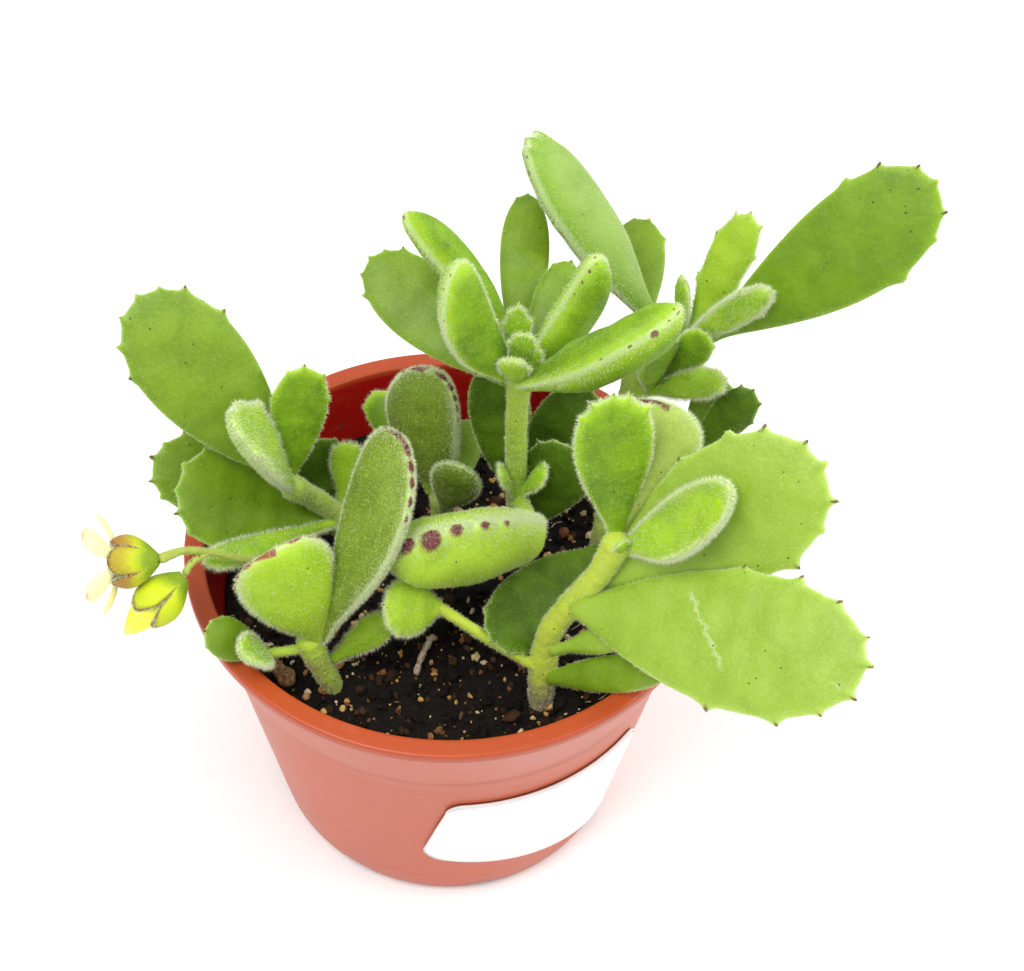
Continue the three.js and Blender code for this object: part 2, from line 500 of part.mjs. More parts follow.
// A sticker that follows the pot's side: a patch of the cone with rounded corners.
function labelSolid() {
  const across = 10;
  const down = 3;
  const layer = (offset) => {
    const points = [];
    for (let i = 0; i <= across; i++) {
      for (let j = 0; j <= down; j++) {
        const [u, v] = [0.5 - 0.5 * Math.cos((Math.PI * i) / across), j / down];
        const bottom = LABEL.bottomLeft + (LABEL.bottomRight - LABEL.bottomLeft) * u;
        const corner = Math.min(1, Math.min(u, 1 - u) * 14);
        const inset = LABEL.corner * (1 - Math.sqrt(1 - (1 - corner) ** 2));
        const z = bottom + inset + (LABEL.top - bottom - 2 * inset) * v;
        const angle = LABEL.from + LABEL.lean * v * (1 - u) + (LABEL.to - LABEL.from) * u;
        const a = THREE.MathUtils.degToRad(angle);
        const r = bodyRadius(z) + offset;
        points.push([r * Math.cos(a), r * Math.sin(a), z]);
      }
    }
    return points;
  };
  const inner = layer(GAP);
  const outer = layer(GAP + LABEL.thickness);
  const place = [...inner, ...outer].flat();
  const at = (i, j, skin) => skin * inner.length + i * (down + 1) + j;
  const index = [];
  const quad = (a, b, c, d) => index.push(a, b, c, a, c, d);
  for (let i = 0; i < across; i++) {
    for (let j = 0; j < down; j++) {
      quad(at(i, j, 1), at(i + 1, j, 1), at(i + 1, j + 1, 1), at(i, j + 1, 1));
      quad(at(i, j, 0), at(i, j + 1, 0), at(i + 1, j + 1, 0), at(i + 1, j, 0));
    }
    quad(at(i, 0, 0), at(i + 1, 0, 0), at(i + 1, 0, 1), at(i, 0, 1));
    quad(at(i, down, 1), at(i + 1, down, 1), at(i + 1, down, 0), at(i, down, 0));
  }
  for (let j = 0; j < down; j++) {
    quad(at(0, j, 1), at(0, j + 1, 1), at(0, j + 1, 0), at(0, j, 0));
    quad(at(across, j, 0), at(across, j + 1, 0), at(across, j + 1, 1), at(across, j, 1));
  }
  const geometry = new THREE.BufferGeometry();
  geometry.setAttribute("position", new THREE.Float32BufferAttribute(place, 3));
  geometry.setIndex(index);
  return solidOf(geometry);
}

// ---- flower ----

// A turn that lays +Z along a heading and rise, for things that face outwards from a stalk's end.
function facing({ at, heading, rise }) {
  const [h, e] = [heading, rise].map(THREE.MathUtils.degToRad);
  const along = new THREE.Vector3(Math.cos(e) * Math.cos(h), Math.cos(e) * Math.sin(h), Math.sin(e));
  const turn = new THREE.Quaternion().setFromUnitVectors(new THREE.Vector3(0, 0, 1), along);
  return new THREE.Matrix4().makeRotationFromQuaternion(turn).setPosition(...at);
}

// A ring of pointed scales, joined at the foot: the lobes of a calyx, or the petals of a flower.
function scales({ count, length, width, thick, spread, start, lift, curl = 0, turn = 0 }) {
  let made = null;
  for (let i = 0; i < count; i++) {
    const scale = leafGeometry({ length, width, thick, neck: width * 0.3, teeth: 1, tooth: 0.4, full: 0.7,
      cup: 0.25, bow: curl, grid: [4, 4] });
    scale.rotateX(Math.PI / 2 - THREE.MathUtils.degToRad(spread));
    scale.translate(0, start, lift);
    scale.rotateZ((2 * Math.PI * (i + turn)) / count);
    const solid = solidOf(scale);
    made = made ? made.add(solid) : solid;
  }
  return made;
}

function openCalyx() {
  const { calyx, lobes } = FLOWER;
  const cup = solidOf(new THREE.SphereGeometry(2.6, 10, 6).scale(1, 1, 1.1).translate(0, 0, 2));
  const ring = scales({ count: lobes, length: calyx + 1.5, width: 5.2, thick: 1, spread: 38, start: 0.6,
    lift: 1.2 });
  return cup.add(ring);
}

// The tube that the petals share, which stands in the calyx.
function petalTube(extra = 0) {
  const made = new THREE.CylinderGeometry(1.7 + extra, 1.5 + extra, 3.4 + 2 * extra, 10);
  return solidOf(made.rotateX(Math.PI / 2).translate(0, 0, 5.6));
}

function openPetals() {
  const ring = scales({ count: FLOWER.petals, length: FLOWER.petal, width: 4.2, thick: 0.8, spread: 58,
    start: 0.4, lift: 5.8, curl: -0.12, turn: 0.5 });
  return petalTube().add(ring);
}

function budCalyx() {
  const cup = solidOf(new THREE.SphereGeometry(BUD.width * 0.36, 10, 6).translate(0, 0, 2.4));
  const ring = scales({ count: 4, length: 9.5, width: 6, thick: 1, spread: 16, start: 1.6, lift: 1.6,
    curl: 0.12 });
  return cup.add(ring);
}

function budTip(extra = 0) {
  const { length, width } = BUD;
  const outline = [0, 0.12, 0.3, 0.5, 0.7, 0.86, 1].map((t) => {
    const out = (width * 0.36 + extra) * Math.sin(Math.PI * Math.min(1, 0.12 + 0.88 * t)) ** 0.75;
    return new THREE.Vector2(t === 0 || t === 1 ? 0 : out, 1.6 - extra + (length - 0.6 + 2 * extra) * t);
  });
  return solidOf(new THREE.LatheGeometry(outline, 10).rotateX(Math.PI / 2));
}

// ---- assembly ----

const plant = new THREE.Group();

// Adds a solid as a mesh. With a frame, the mesh is placed by it and its geometry is in its own axes.
function add(name, solid, finish, parent, frame = null) {
  const geometry = geometryOf(solid);
  const mesh = new THREE.Mesh(geometry, finish);
  mesh.name = name;
  if (frame) {
    geometry.applyMatrix4(frame.clone().invert());
    frame.decompose(mesh.position, mesh.quaternion, mesh.scale);
  }
  parent.add(mesh);
}

const holder = new THREE.Group();
plant.add(holder);
add("pot", potSolid(), TERRACOTTA, holder);
add("label", labelSolid(), PAPER, holder);
add("soil", soilSolid(), EARTH, holder);

// What each later piece keeps clear of: every stem, and every leaf placed before it.
const placed = Object.values(STEMS).map((stem) => stemSolid(stem, GAP));
function givingWay(solid) {
  let made = solid;
  for (const other of placed) made = made.subtract(other);
  return made;
}

const DARK = [
  "leaf_low_front",
  "leaf_dark_back",
  "leaf_low_back_left",
  "leaf_low_back_right",
  "leaf_left_inner",
];
const CLAWED = [
  "leaf_tall_front",
  "leaf_cupped_front",
  "leaf_middle_back",
  "leaf_round_back",
  "leaf_middle_low",
];

function leafFinish(name, spec) {
  if (DARK.includes(name)) return DARK_GREEN;
  if (CLAWED.includes(name)) return OLIVE_GREEN;
  return spec.small ? PALE_GREEN : GREEN;
}

for (const [name, stem] of Object.entries(STEMS)) {
  const shoot = new THREE.Group();
  plant.add(shoot);
  add(name, stemSolid(stem), name.startsWith("stem_back") ? WOODY : STEM_GREEN, shoot);
  const own = Object.entries(LEAVES).filter(([, spec]) => spec.stem === name);
  for (const [leafName, spec] of own) {
    const solid = givingWay(placedLeaf(spec));
    add(leafName, solid, leafFinish(leafName, spec), shoot, leafFrame(spec));
    placed.push(placedLeaf(spec, GAP));
  }
}

const flowers = new THREE.Group();
plant.add(flowers);
const stalk = tube(STALK.points, STALK.radius, 6).add(tube(STALK.branch, STALK.branchRadius, 6));
add("flower_stalk", givingWay(stalk), STEM_GREEN, flowers);
const stalkClear = tube(STALK.points, STALK.radius + GAP, 6).add(
  tube(STALK.branch, STALK.branchRadius + GAP, 6),
);
const flowerFrame = facing(FLOWER);
const budFrame = facing(BUD);
const inFrame = (solid, frame) => solid.transform(frame.toArray());
const tubeClear = inFrame(petalTube(GAP), flowerFrame);
const budClear = inFrame(budTip(GAP), budFrame);
const calyx = inFrame(openCalyx(), flowerFrame).subtract(stalkClear).subtract(tubeClear);
const petals = inFrame(openPetals(), flowerFrame);
const budCup = inFrame(budCalyx(), budFrame).subtract(stalkClear).subtract(budClear);
const budPetals = inFrame(budTip(), budFrame).subtract(stalkClear);
add("flower_calyx", calyx, SEPAL, flowers, flowerFrame);
add("flower_petals", petals, PETAL, flowers, flowerFrame);
add("bud_calyx", budCup, SEPAL, flowers, budFrame);
add("bud_petals", budPetals, BUD_YELLOW, flowers, budFrame);

export default plant;
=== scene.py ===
"""A bear's paw succulent, Cotyledon tomentosa, in its nursery pot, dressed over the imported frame.

Everything is worked out in millimetres, in the frame of the solids, and scaled to metres as it goes
into a mesh. Each surface is a function of two parameters on a grid, computed with numpy.
"""

import logging
from dataclasses import dataclass, field, replace
from enum import Enum

import bpy
import numpy as np
from mathutils import Matrix


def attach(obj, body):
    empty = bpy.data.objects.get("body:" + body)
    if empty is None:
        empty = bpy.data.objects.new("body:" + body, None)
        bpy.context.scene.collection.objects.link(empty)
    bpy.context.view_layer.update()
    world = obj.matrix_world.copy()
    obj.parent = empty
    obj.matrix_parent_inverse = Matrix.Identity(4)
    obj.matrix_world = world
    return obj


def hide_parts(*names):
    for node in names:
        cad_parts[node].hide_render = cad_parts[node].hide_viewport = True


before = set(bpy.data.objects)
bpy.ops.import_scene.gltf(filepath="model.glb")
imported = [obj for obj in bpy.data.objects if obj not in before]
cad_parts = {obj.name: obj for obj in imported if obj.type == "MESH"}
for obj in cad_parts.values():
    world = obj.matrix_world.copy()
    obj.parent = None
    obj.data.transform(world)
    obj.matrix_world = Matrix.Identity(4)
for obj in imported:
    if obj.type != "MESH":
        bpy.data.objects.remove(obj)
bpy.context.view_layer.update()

MM = 0.001
LOG = logging.getLogger("succulent")

Colour = tuple[float, float, float]
Point = tuple[float, float, float]


# ---- shapes as arrays ----


@dataclass
class Skin:
    """A closed surface of triangles, in millimetres, with values for each vertex."""

    points: np.ndarray
    faces: np.ndarray
    layers: dict[str, np.ndarray] = field(default_factory=dict)
    slots: np.ndarray | None = None

    def normals(self) -> np.ndarray:
        """The normal at each vertex: the sum of its faces' cross products, made one long."""
        a, b, c = (self.points[self.faces[:, k]] for k in range(3))
        cross = np.cross(b - a, c - a)
        total = np.zeros_like(self.points)
        for k in range(3):
            np.add.at(total, self.faces[:, k], cross)
        return total / np.maximum(np.linalg.norm(total, axis=1, keepdims=True), 1e-12)

    def volume(self) -> float:
        """Signed volume: a sixth of the sum of each face's triple product."""
        a, b, c = (self.points[self.faces[:, k]] for k in range(3))
        return float(np.einsum("ij,ij->i", a, np.cross(b, c)).sum() / 6)

    def outward(self) -> "Skin":
        """The same surface with its faces turned outwards."""
        return self if self.volume() > 0 else replace(self, faces=self.faces[:, ::-1].copy())

    def moved(self, matrix: np.ndarray) -> "Skin":
        """The same surface after a 4 by 4 transform."""
        return replace(self, points=self.points @ matrix[:3, :3].T + matrix[:3, 3])

    def painted(self, slot: int) -> "Skin":
        """The same surface with all its faces in one material slot."""
        return replace(self, slots=np.full(len(self.faces), slot, np.int32))


def joined(skins: list[Skin]) -> Skin:
    """Several surfaces as one, side by side.

    Args:
        skins: the surfaces; a layer that one of them lacks is zero there.

    Returns:
        One surface that holds them all.
    """
    starts = np.cumsum([0] + [len(s.points) for s in skins[:-1]])
    names = sorted({name for s in skins for name in s.layers})
    layers = {
        name: np.concatenate([s.layers.get(name, np.zeros(len(s.points))) for s in skins]) for name in names
    }
    slots = [s.slots if s.slots is not None else np.zeros(len(s.faces), np.int32) for s in skins]
    return Skin(
        np.concatenate([s.points for s in skins]),
        np.concatenate([s.faces + start for s, start in zip(skins, starts)]),
        layers,
        np.concatenate(slots),
    )


def normed(vectors: np.ndarray) -> np.ndarray:
    """The vectors, each made one long."""
    return vectors / np.linalg.norm(vectors, axis=-1, keepdims=True)


def reached(line: np.ndarray) -> np.ndarray:
    """The way along a line from its start to each of its stations."""
    return np.concatenate([[0], np.cumsum(np.linalg.norm(np.diff(line, axis=0), axis=1))])


def once_round(steps: int) -> np.ndarray:
    """So many even angles, once round."""
    return np.linspace(0, 2 * np.pi, steps, endpoint=False)


def around(radius: np.ndarray, angle: np.ndarray, height: np.ndarray) -> np.ndarray:
    """The points at a radius, an angle and a height about the Z axis."""
    return np.stack(np.broadcast_arrays(radius * np.cos(angle), radius * np.sin(angle), height), -1)


def woven(same: np.ndarray) -> np.ndarray:
    """Triangles of a grid: each cell of four neighbours is split in two, and a flat one is dropped.

    Args:
        same: for each grid point, the number of the vertex that stands for it. Points that coincide,
            at a pole or along a seam, share a number.

    Returns:
        The triangles as vertex numbers.
    """
    a, b, c, d = same[:-1, :-1], same[1:, :-1], same[1:, 1:], same[:-1, 1:]
    faces = np.concatenate([np.stack(t, -1).reshape(-1, 3) for t in ((a, b, c), (a, c, d))])
    keep = (faces[:, 0] != faces[:, 1]) & (faces[:, 1] != faces[:, 2]) & (faces[:, 2] != faces[:, 0])
    return faces[keep]


def packed(grid: np.ndarray, same: np.ndarray, layers: dict[str, np.ndarray]) -> Skin:
    """A grid of points as a closed surface, without the points that coincide with others.

    Args:
        grid: rows by columns by 3, the points.
        same: for each grid point, the flat index of the one that stands for it.
        layers: values on the grid.

    Returns:
        The surface, facing outwards.
    """
    used, index = np.unique(same.ravel(), return_inverse=True)
    flat = {name: np.broadcast_to(v, same.shape).ravel()[used] for name, v in layers.items()}
    return Skin(grid.reshape(-1, 3)[used], woven(index.reshape(same.shape)), flat).outward()


def ringed(grid: np.ndarray, layers: dict[str, np.ndarray] | None = None) -> Skin:
    """A grid whose rows are closed rings, with its first and last ring drawn to a point.

    Args:
        grid: rings by steps round by 3, without a repeated first step.
        layers: values on the grid.

    Returns:
        The closed surface.
    """
    rings, steps = grid.shape[:2]
    number = np.arange(rings * steps).reshape(rings, steps)
    number[0], number[-1] = number[0, 0], number[-1, 0]
    number = np.concatenate([number, number[:, :1]], 1)
    grid = np.concatenate([grid, grid[:, :1]], 1)
    wide = {}
    for name, value in (layers or {}).items():
        value = np.broadcast_to(value, (rings, steps))
        wide[name] = np.concatenate([value, value[:, :1]], 1)
    flat = np.arange(number.size).reshape(number.shape)
    first = np.full(number.max() + 1, number.size)
    np.minimum.at(first, number.ravel(), flat.ravel())
    return packed(grid, first[number], wide)


def ease(value: np.ndarray | float, low: float, high: float) -> np.ndarray:
    """A smooth step from 0 at low to 1 at high: s squared times (3 - 2 s)."""
    s = np.clip((np.asarray(value, float) - low) / (high - low), 0, 1)
    return s * s * (3 - 2 * s)


def rough(x: np.ndarray, y: np.ndarray, seed: int, scale: float, octaves: int = 3) -> np.ndarray:
    """Value noise: seeded draws on a square lattice, eased between its corners, halved at each octave.

    Args:
        x, y: where it is wanted, in millimetres.
        seed: which draws.
        scale: the lattice's pitch in millimetres.
        octaves: how many finer layers.

    Returns:
        Values round zero, mostly within -1 and 1.
    """
    total, strength = np.zeros(np.broadcast(x, y).shape), 1.0
    for octave in range(octaves):
        lattice = np.random.default_rng(seed + octave).uniform(-1, 1, (64, 64))
        u, v = x / scale * 2**octave + 17.3, y / scale * 2**octave + 29.1
        i, j = np.floor(u).astype(int), np.floor(v).astype(int)
        p, q = ease(u - i, 0, 1), ease(v - j, 0, 1)
        corner = [[lattice[(i + a) % 64, (j + b) % 64] for b in (0, 1)] for a in (0, 1)]
        row = [corner[a][0] * (1 - q) + corner[a][1] * q for a in (0, 1)]
        total = total + strength * (row[0] * (1 - p) + row[1] * p)
        strength *= 0.5
    return total


def smooth_line(points: list[Point], spacing: float) -> np.ndarray:
    """A centripetal Catmull-Rom line through the points, evenly spaced.

    Between two points it is the cubic that leaves and meets them with the non-uniform Catmull-Rom
    tangents, whose knot steps are the square roots of the distances.

    Args:
        points: what the line passes through.
        spacing: the distance between stations.

    Returns:
        Stations by 3.
    """
    p = np.array(points, float)
    p = np.concatenate([2 * p[:1] - p[1:2], p, 2 * p[-1:] - p[-2:-1]])
    steps = np.sqrt(np.linalg.norm(np.diff(p, axis=0), axis=1))[:, None]
    d0, d1, d2 = steps[:-2], steps[1:-1], steps[2:]
    p0, p1, p2, p3 = p[:-3], p[1:-2], p[2:-1], p[3:]
    leave = ((p1 - p0) / d0 - (p2 - p0) / (d0 + d1) + (p2 - p1) / d1) * d1
    meet = ((p2 - p1) / d1 - (p3 - p1) / (d1 + d2) + (p3 - p2) / d2) * d1
    w = np.linspace(0, 1, 40, endpoint=False)[None, :, None]
    a, b, c, d = p1[:, None], leave[:, None], p2[:, None], meet[:, None]
    curve = a + b * w + (-3 * a + 3 * c - 2 * b - d) * w**2 + (2 * a - 2 * c + b + d) * w**3
    curve = np.concatenate([curve.reshape(-1, 3), p[-2:-1]])
    run = reached(curve)
    stations = np.linspace(0, run[-1], max(4, int(round(run[-1] / spacing)) + 1))
    return np.stack([np.interp(stations, run, curve[:, k]) for k in range(3)], 1)


def tube(line: np.ndarray, radius: np.ndarray, steps: int = 20, layers: dict | None = None) -> Skin:
    """A round tube along a line, with rounded ends.

    A ring at each station, square to the line; its radius is the one given times the square root of
    1 - (1 - d / r)^2 within one radius r of an end, at the distance d from it.

    Args:
        line: stations by 3.
        radius: the radius at each station.
        steps: points round.
        layers: values along the line.

    Returns:
        The closed tube.
    """
    along = normed(np.gradient(line, axis=0))
    guide = np.eye(3)[np.argmin(np.abs(along.mean(0)))]
    side = normed(np.cross(guide, along))
    other = np.cross(along, side)
    run = reached(line)
    end = np.minimum(run, run[-1] - run) / np.maximum(radius, 1e-6)
    cap = np.sqrt(1 - (1 - np.clip(end, 0, 1)) ** 2) * radius
    turn = once_round(steps)
    ring = np.cos(turn)[None, :, None] * side[:, None] + np.sin(turn)[None, :, None] * other[:, None]
    values = {name: np.broadcast_to(v[:, None], (len(line), steps)) for name, v in (layers or {}).items()}
    return ringed(line[:, None] + cap[:, None, None] * ring, values)


def turned(profile: np.ndarray, steps: int) -> np.ndarray:
    """A profile of radius and height carried round the Z axis: rings by steps by 3."""
    return around(profile[:, 0, None], once_round(steps), profile[:, 1, None])


def lumps(centres: np.ndarray, sizes: np.ndarray, seed: int, fine: bool = False) -> Skin:
    """Small uneven stones or crumbs: twenty-sided balls, each stretched, turned and dented by draws.

    Args:
        centres: count by 3.
        sizes: the mean radius of each.
        seed: which draws.
        fine: whether each has eighty faces instead of twenty.

    Returns:
        One surface of many closed lumps, with a tone from 0 to 1 for each as the layer tone.
    """
    g = (1 + 5**0.5) / 2
    ball = [(-1, g, 0), (1, g, 0), (-1, -g, 0), (1, -g, 0), (0, -1, g), (0, 1, g),
            (0, -1, -g), (0, 1, -g), (g, 0, -1), (g, 0, 1), (-g, 0, -1), (-g, 0, 1)]
    sides = [(0, 11, 5), (0, 5, 1), (0, 1, 7), (0, 7, 10), (0, 10, 11), (1, 5, 9), (5, 11, 4),
             (11, 10, 2), (10, 7, 6), (7, 1, 8), (3, 9, 4), (3, 4, 2), (3, 2, 6), (3, 6, 8),
             (3, 8, 9), (4, 9, 5), (2, 4, 11), (6, 2, 10), (8, 6, 7), (9, 8, 1)]
    unit, tri = np.array(ball, float), np.array(sides)
    if fine:
        pair = np.sort(np.concatenate([tri[:, [0, 1]], tri[:, [1, 2]], tri[:, [2, 0]]]), 1)
        edges, which = np.unique(pair, axis=0, return_inverse=True)
        middle = which.reshape(3, -1).T + len(unit)
        unit = np.concatenate([unit, unit[edges].mean(1)])
        a, b, c = tri.T
        ab, bc, ca = middle.T
        tri = np.concatenate([np.stack(t, 1) for t in ((a, ab, ca), (ab, b, bc), (ca, bc, c), (ab, bc, ca))])
    unit = normed(unit)
    rng = np.random.default_rng(seed)
    count = len(centres)
    body = unit[None] * rng.uniform(0.72, 1.25, (count, len(unit), 1)) * rng.uniform(0.6, 1.3, (count, 1, 3))
    axis = rng.normal(size=(count, 3, 3))
    spin = np.linalg.qr(axis)[0]
    spin *= np.sign(np.linalg.det(spin))[:, None, None]
    body = np.einsum("nij,nkj->nki", spin, body) * sizes[:, None, None] + centres[:, None]
    faces = (tri[None] + (np.arange(count) * len(unit))[:, None, None]).reshape(-1, 3)
    tone = np.repeat(rng.uniform(0, 1, count), len(unit))
    return Skin(body.reshape(-1, 3), faces, {"tone": tone}).outward()


def grown(name: str, skin: Skin, finishes: list[bpy.types.Material], slot: str, *nodes: str,
          smooth: bool = True) -> None:
    """Makes a piece: a surface as a mesh object in metres, on the one body.

    Args:
        name: the piece's name.
        skin: the surface in millimetres.
        finishes: its materials, in the order of the mesh's slots.
        slot: not used.
        nodes: the solids that it replaces, if any.
        smooth: whether it is shaded smooth.
    """
    mesh = bpy.data.meshes.new(name)
    count = len(skin.faces)
    mesh.vertices.add(len(skin.points))
    mesh.vertices.foreach_set("co", (skin.points * MM).astype(np.float32).ravel())
    mesh.loops.add(3 * count)
    mesh.loops.foreach_set("vertex_index", skin.faces.astype(np.int32).ravel())
    mesh.polygons.add(count)
    mesh.polygons.foreach_set("loop_start", np.arange(0, 3 * count, 3, dtype=np.int32))
    mesh.update(calc_edges=True)
    for finish in finishes:
        mesh.materials.append(finish)
    if skin.slots is not None:
        mesh.polygons.foreach_set("material_index", skin.slots.astype(np.int32))
    mesh.polygons.foreach_set("use_smooth", np.full(count, smooth))
    for layer, value in skin.layers.items():
        made = mesh.attributes.new(layer, "FLOAT", "POINT")
        made.data.foreach_set("value", np.asarray(value, np.float32))
    mesh.update()
    piece = bpy.data.objects.new(name, mesh)
    bpy.context.scene.collection.objects.link(piece)
    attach(piece, "root")
    if nodes:
        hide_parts(*nodes)
    LOG.info("%s: %d triangles", name, count)


# ---- finishes ----


class Paint:
    """A material being wired: each method adds a node and gives the socket that it ends in."""

    def __init__(self, name: str) -> None:
        """Starts a material with one shader."""
        self.material = bpy.data.materials.new(name)
        self.material.use_nodes = True
        self.nodes = self.material.node_tree.nodes
        self.links = self.material.node_tree.links
        self.shader = self.nodes["Principled BSDF"]
        self.place = self.nodes.new("ShaderNodeTexCoord").outputs["Object"]

    def set(self, **values: float | Colour) -> None:
        """Sets the shader's own sockets, named with _ for a space."""
        for key, value in values.items():
            socket = self.shader.inputs[key.replace("_", " ")]
            socket.default_value = (*value, 1.0) if isinstance(value, tuple) and len(value) == 3 and (
                socket.type == "RGBA") else value

    def into(self, node: bpy.types.Node, key: str | int, value: object) -> None:
        """Links a socket into a node's input, or sets it if it is a number or a colour."""
        socket = node.inputs[key]
        if isinstance(value, bpy.types.NodeSocket):
            self.links.new(value, socket)
        elif isinstance(value, tuple) and socket.type == "RGBA":
            socket.default_value = (*value, 1.0)
        else:
            socket.default_value = value

    def layer(self, name: str) -> bpy.types.NodeSocket:
        """The piece's own value of that name."""
        node = self.nodes.new("ShaderNodeAttribute")
        node.attribute_name = name
        return node.outputs["Fac"]

    def noise(self, per_mm: float, detail: float = 2.0, rough_: float = 0.5, stretch: Point = (1, 1, 1),
              twist: float = 0.0) -> bpy.types.NodeSocket:
        """Noise with about so many features a millimetre, stretched along the axes if wanted."""
        spread = self.nodes.new("ShaderNodeMapping")
        spread.inputs["Scale"].default_value = stretch
        self.links.new(self.place, spread.inputs["Vector"])
        node = self.nodes.new("ShaderNodeTexNoise")
        self.links.new(spread.outputs["Vector"], node.inputs["Vector"])
        node.inputs["Scale"].default_value = per_mm / MM
        node.inputs["Detail"].default_value = detail
        node.inputs["Roughness"].default_value = rough_
        node.inputs["Distortion"].default_value = twist
        return node.outputs["Fac"]

    def cells(self, per_mm: float) -> bpy.types.NodeSocket:
        """Distance to the nearest of scattered points, so many a millimetre along a line."""
        node = self.nodes.new("ShaderNodeTexVoronoi")
        self.links.new(self.place, node.inputs["Vector"])
        node.inputs["Scale"].default_value = per_mm / MM
        return node.outputs["Distance"]

    def height(self) -> bpy.types.NodeSocket:
        """Height above the floor, in metres."""
        node = self.nodes.new("ShaderNodeSeparateXYZ")
        self.links.new(self.place, node.inputs[0])
        return node.outputs["Z"]

    def step(self, value: object, low: float, high: float) -> bpy.types.NodeSocket:
        """A smooth step from 0 at low to 1 at high; low may be above high."""
        node = self.nodes.new("ShaderNodeMapRange")
        node.interpolation_type = "SMOOTHSTEP"
        self.into(node, "Value", value)
        node.inputs["From Min"].default_value = low
        node.inputs["From Max"].default_value = high
        return node.outputs["Result"]

    def maths(self, kind: str, a: object, b: object) -> bpy.types.NodeSocket:
        """A sum, product or other operation on two values."""
        node = self.nodes.new("ShaderNodeMath")
        node.operation = kind
        self.into(node, 0, a)
        self.into(node, 1, b)
        return node.outputs[0]

    def blend(self, amount: object, under: object, over: object) -> bpy.types.NodeSocket:
        """One colour laid over another by an amount."""
        node = self.nodes.new("ShaderNodeMix")
        node.data_type = "RGBA"
        self.into(node, 0, amount)
        self.into(node, 6, under)
        self.into(node, 7, over)
        return node.outputs[2]

    def plus(self, value: object, more: object, share: float) -> bpy.types.NodeSocket:
        """A value plus a share of another."""
        return self.maths("ADD", value, self.maths("MULTIPLY", more, share))

    def over(self, under: object, tint: Colour, mask: object, share: float = 1.0) -> bpy.types.NodeSocket:
        """A tint laid over a colour by a mask, or by a share of the mask."""
        return self.blend(mask if share == 1.0 else self.maths("MULTIPLY", mask, share), under, tint)

    def ramp(self, value: object, stops: list[tuple[float, Colour]]) -> bpy.types.NodeSocket:
        """Colours along a value."""
        node = self.nodes.new("ShaderNodeValToRGB")
        self.into(node, 0, value)
        band = node.color_ramp
        while len(band.elements) < len(stops):
            band.elements.new(0.5)
        for element, (at, colour) in zip(band.elements, stops):
            element.position = at
            element.color = (*colour, 1.0)
        return node.outputs["Color"]

    def relief(self, value: object, depth: float, strength: float = 1.0) -> None:
        """Raises the surface by a value, to so many millimetres."""
        node = self.nodes.new("ShaderNodeBump")
        node.inputs["Distance"].default_value = depth * MM
        node.inputs["Strength"].default_value = strength
        self.into(node, "Height", value)
        self.links.new(node.outputs["Normal"], self.shader.inputs["Normal"])

    def finish(self, colour: bpy.types.NodeSocket) -> bpy.types.Material:
        """Ends in the base colour, and gives the material."""
        self.links.new(colour, self.shader.inputs["Base Color"])
        return self.material


# Pale line along the leaf margin: partly the margin's dense hair, partly painted sheen of hair seen edge-on.
HAIR_SHEEN_LINE: Colour = (0.62, 0.76, 0.36)
HAIR_ROOT: Colour = (0.48, 0.61, 0.14)
CORK: Colour = (0.42, 0.52, 0.20)
PEAT_SPECK: Colour = (0.02, 0.016, 0.01)


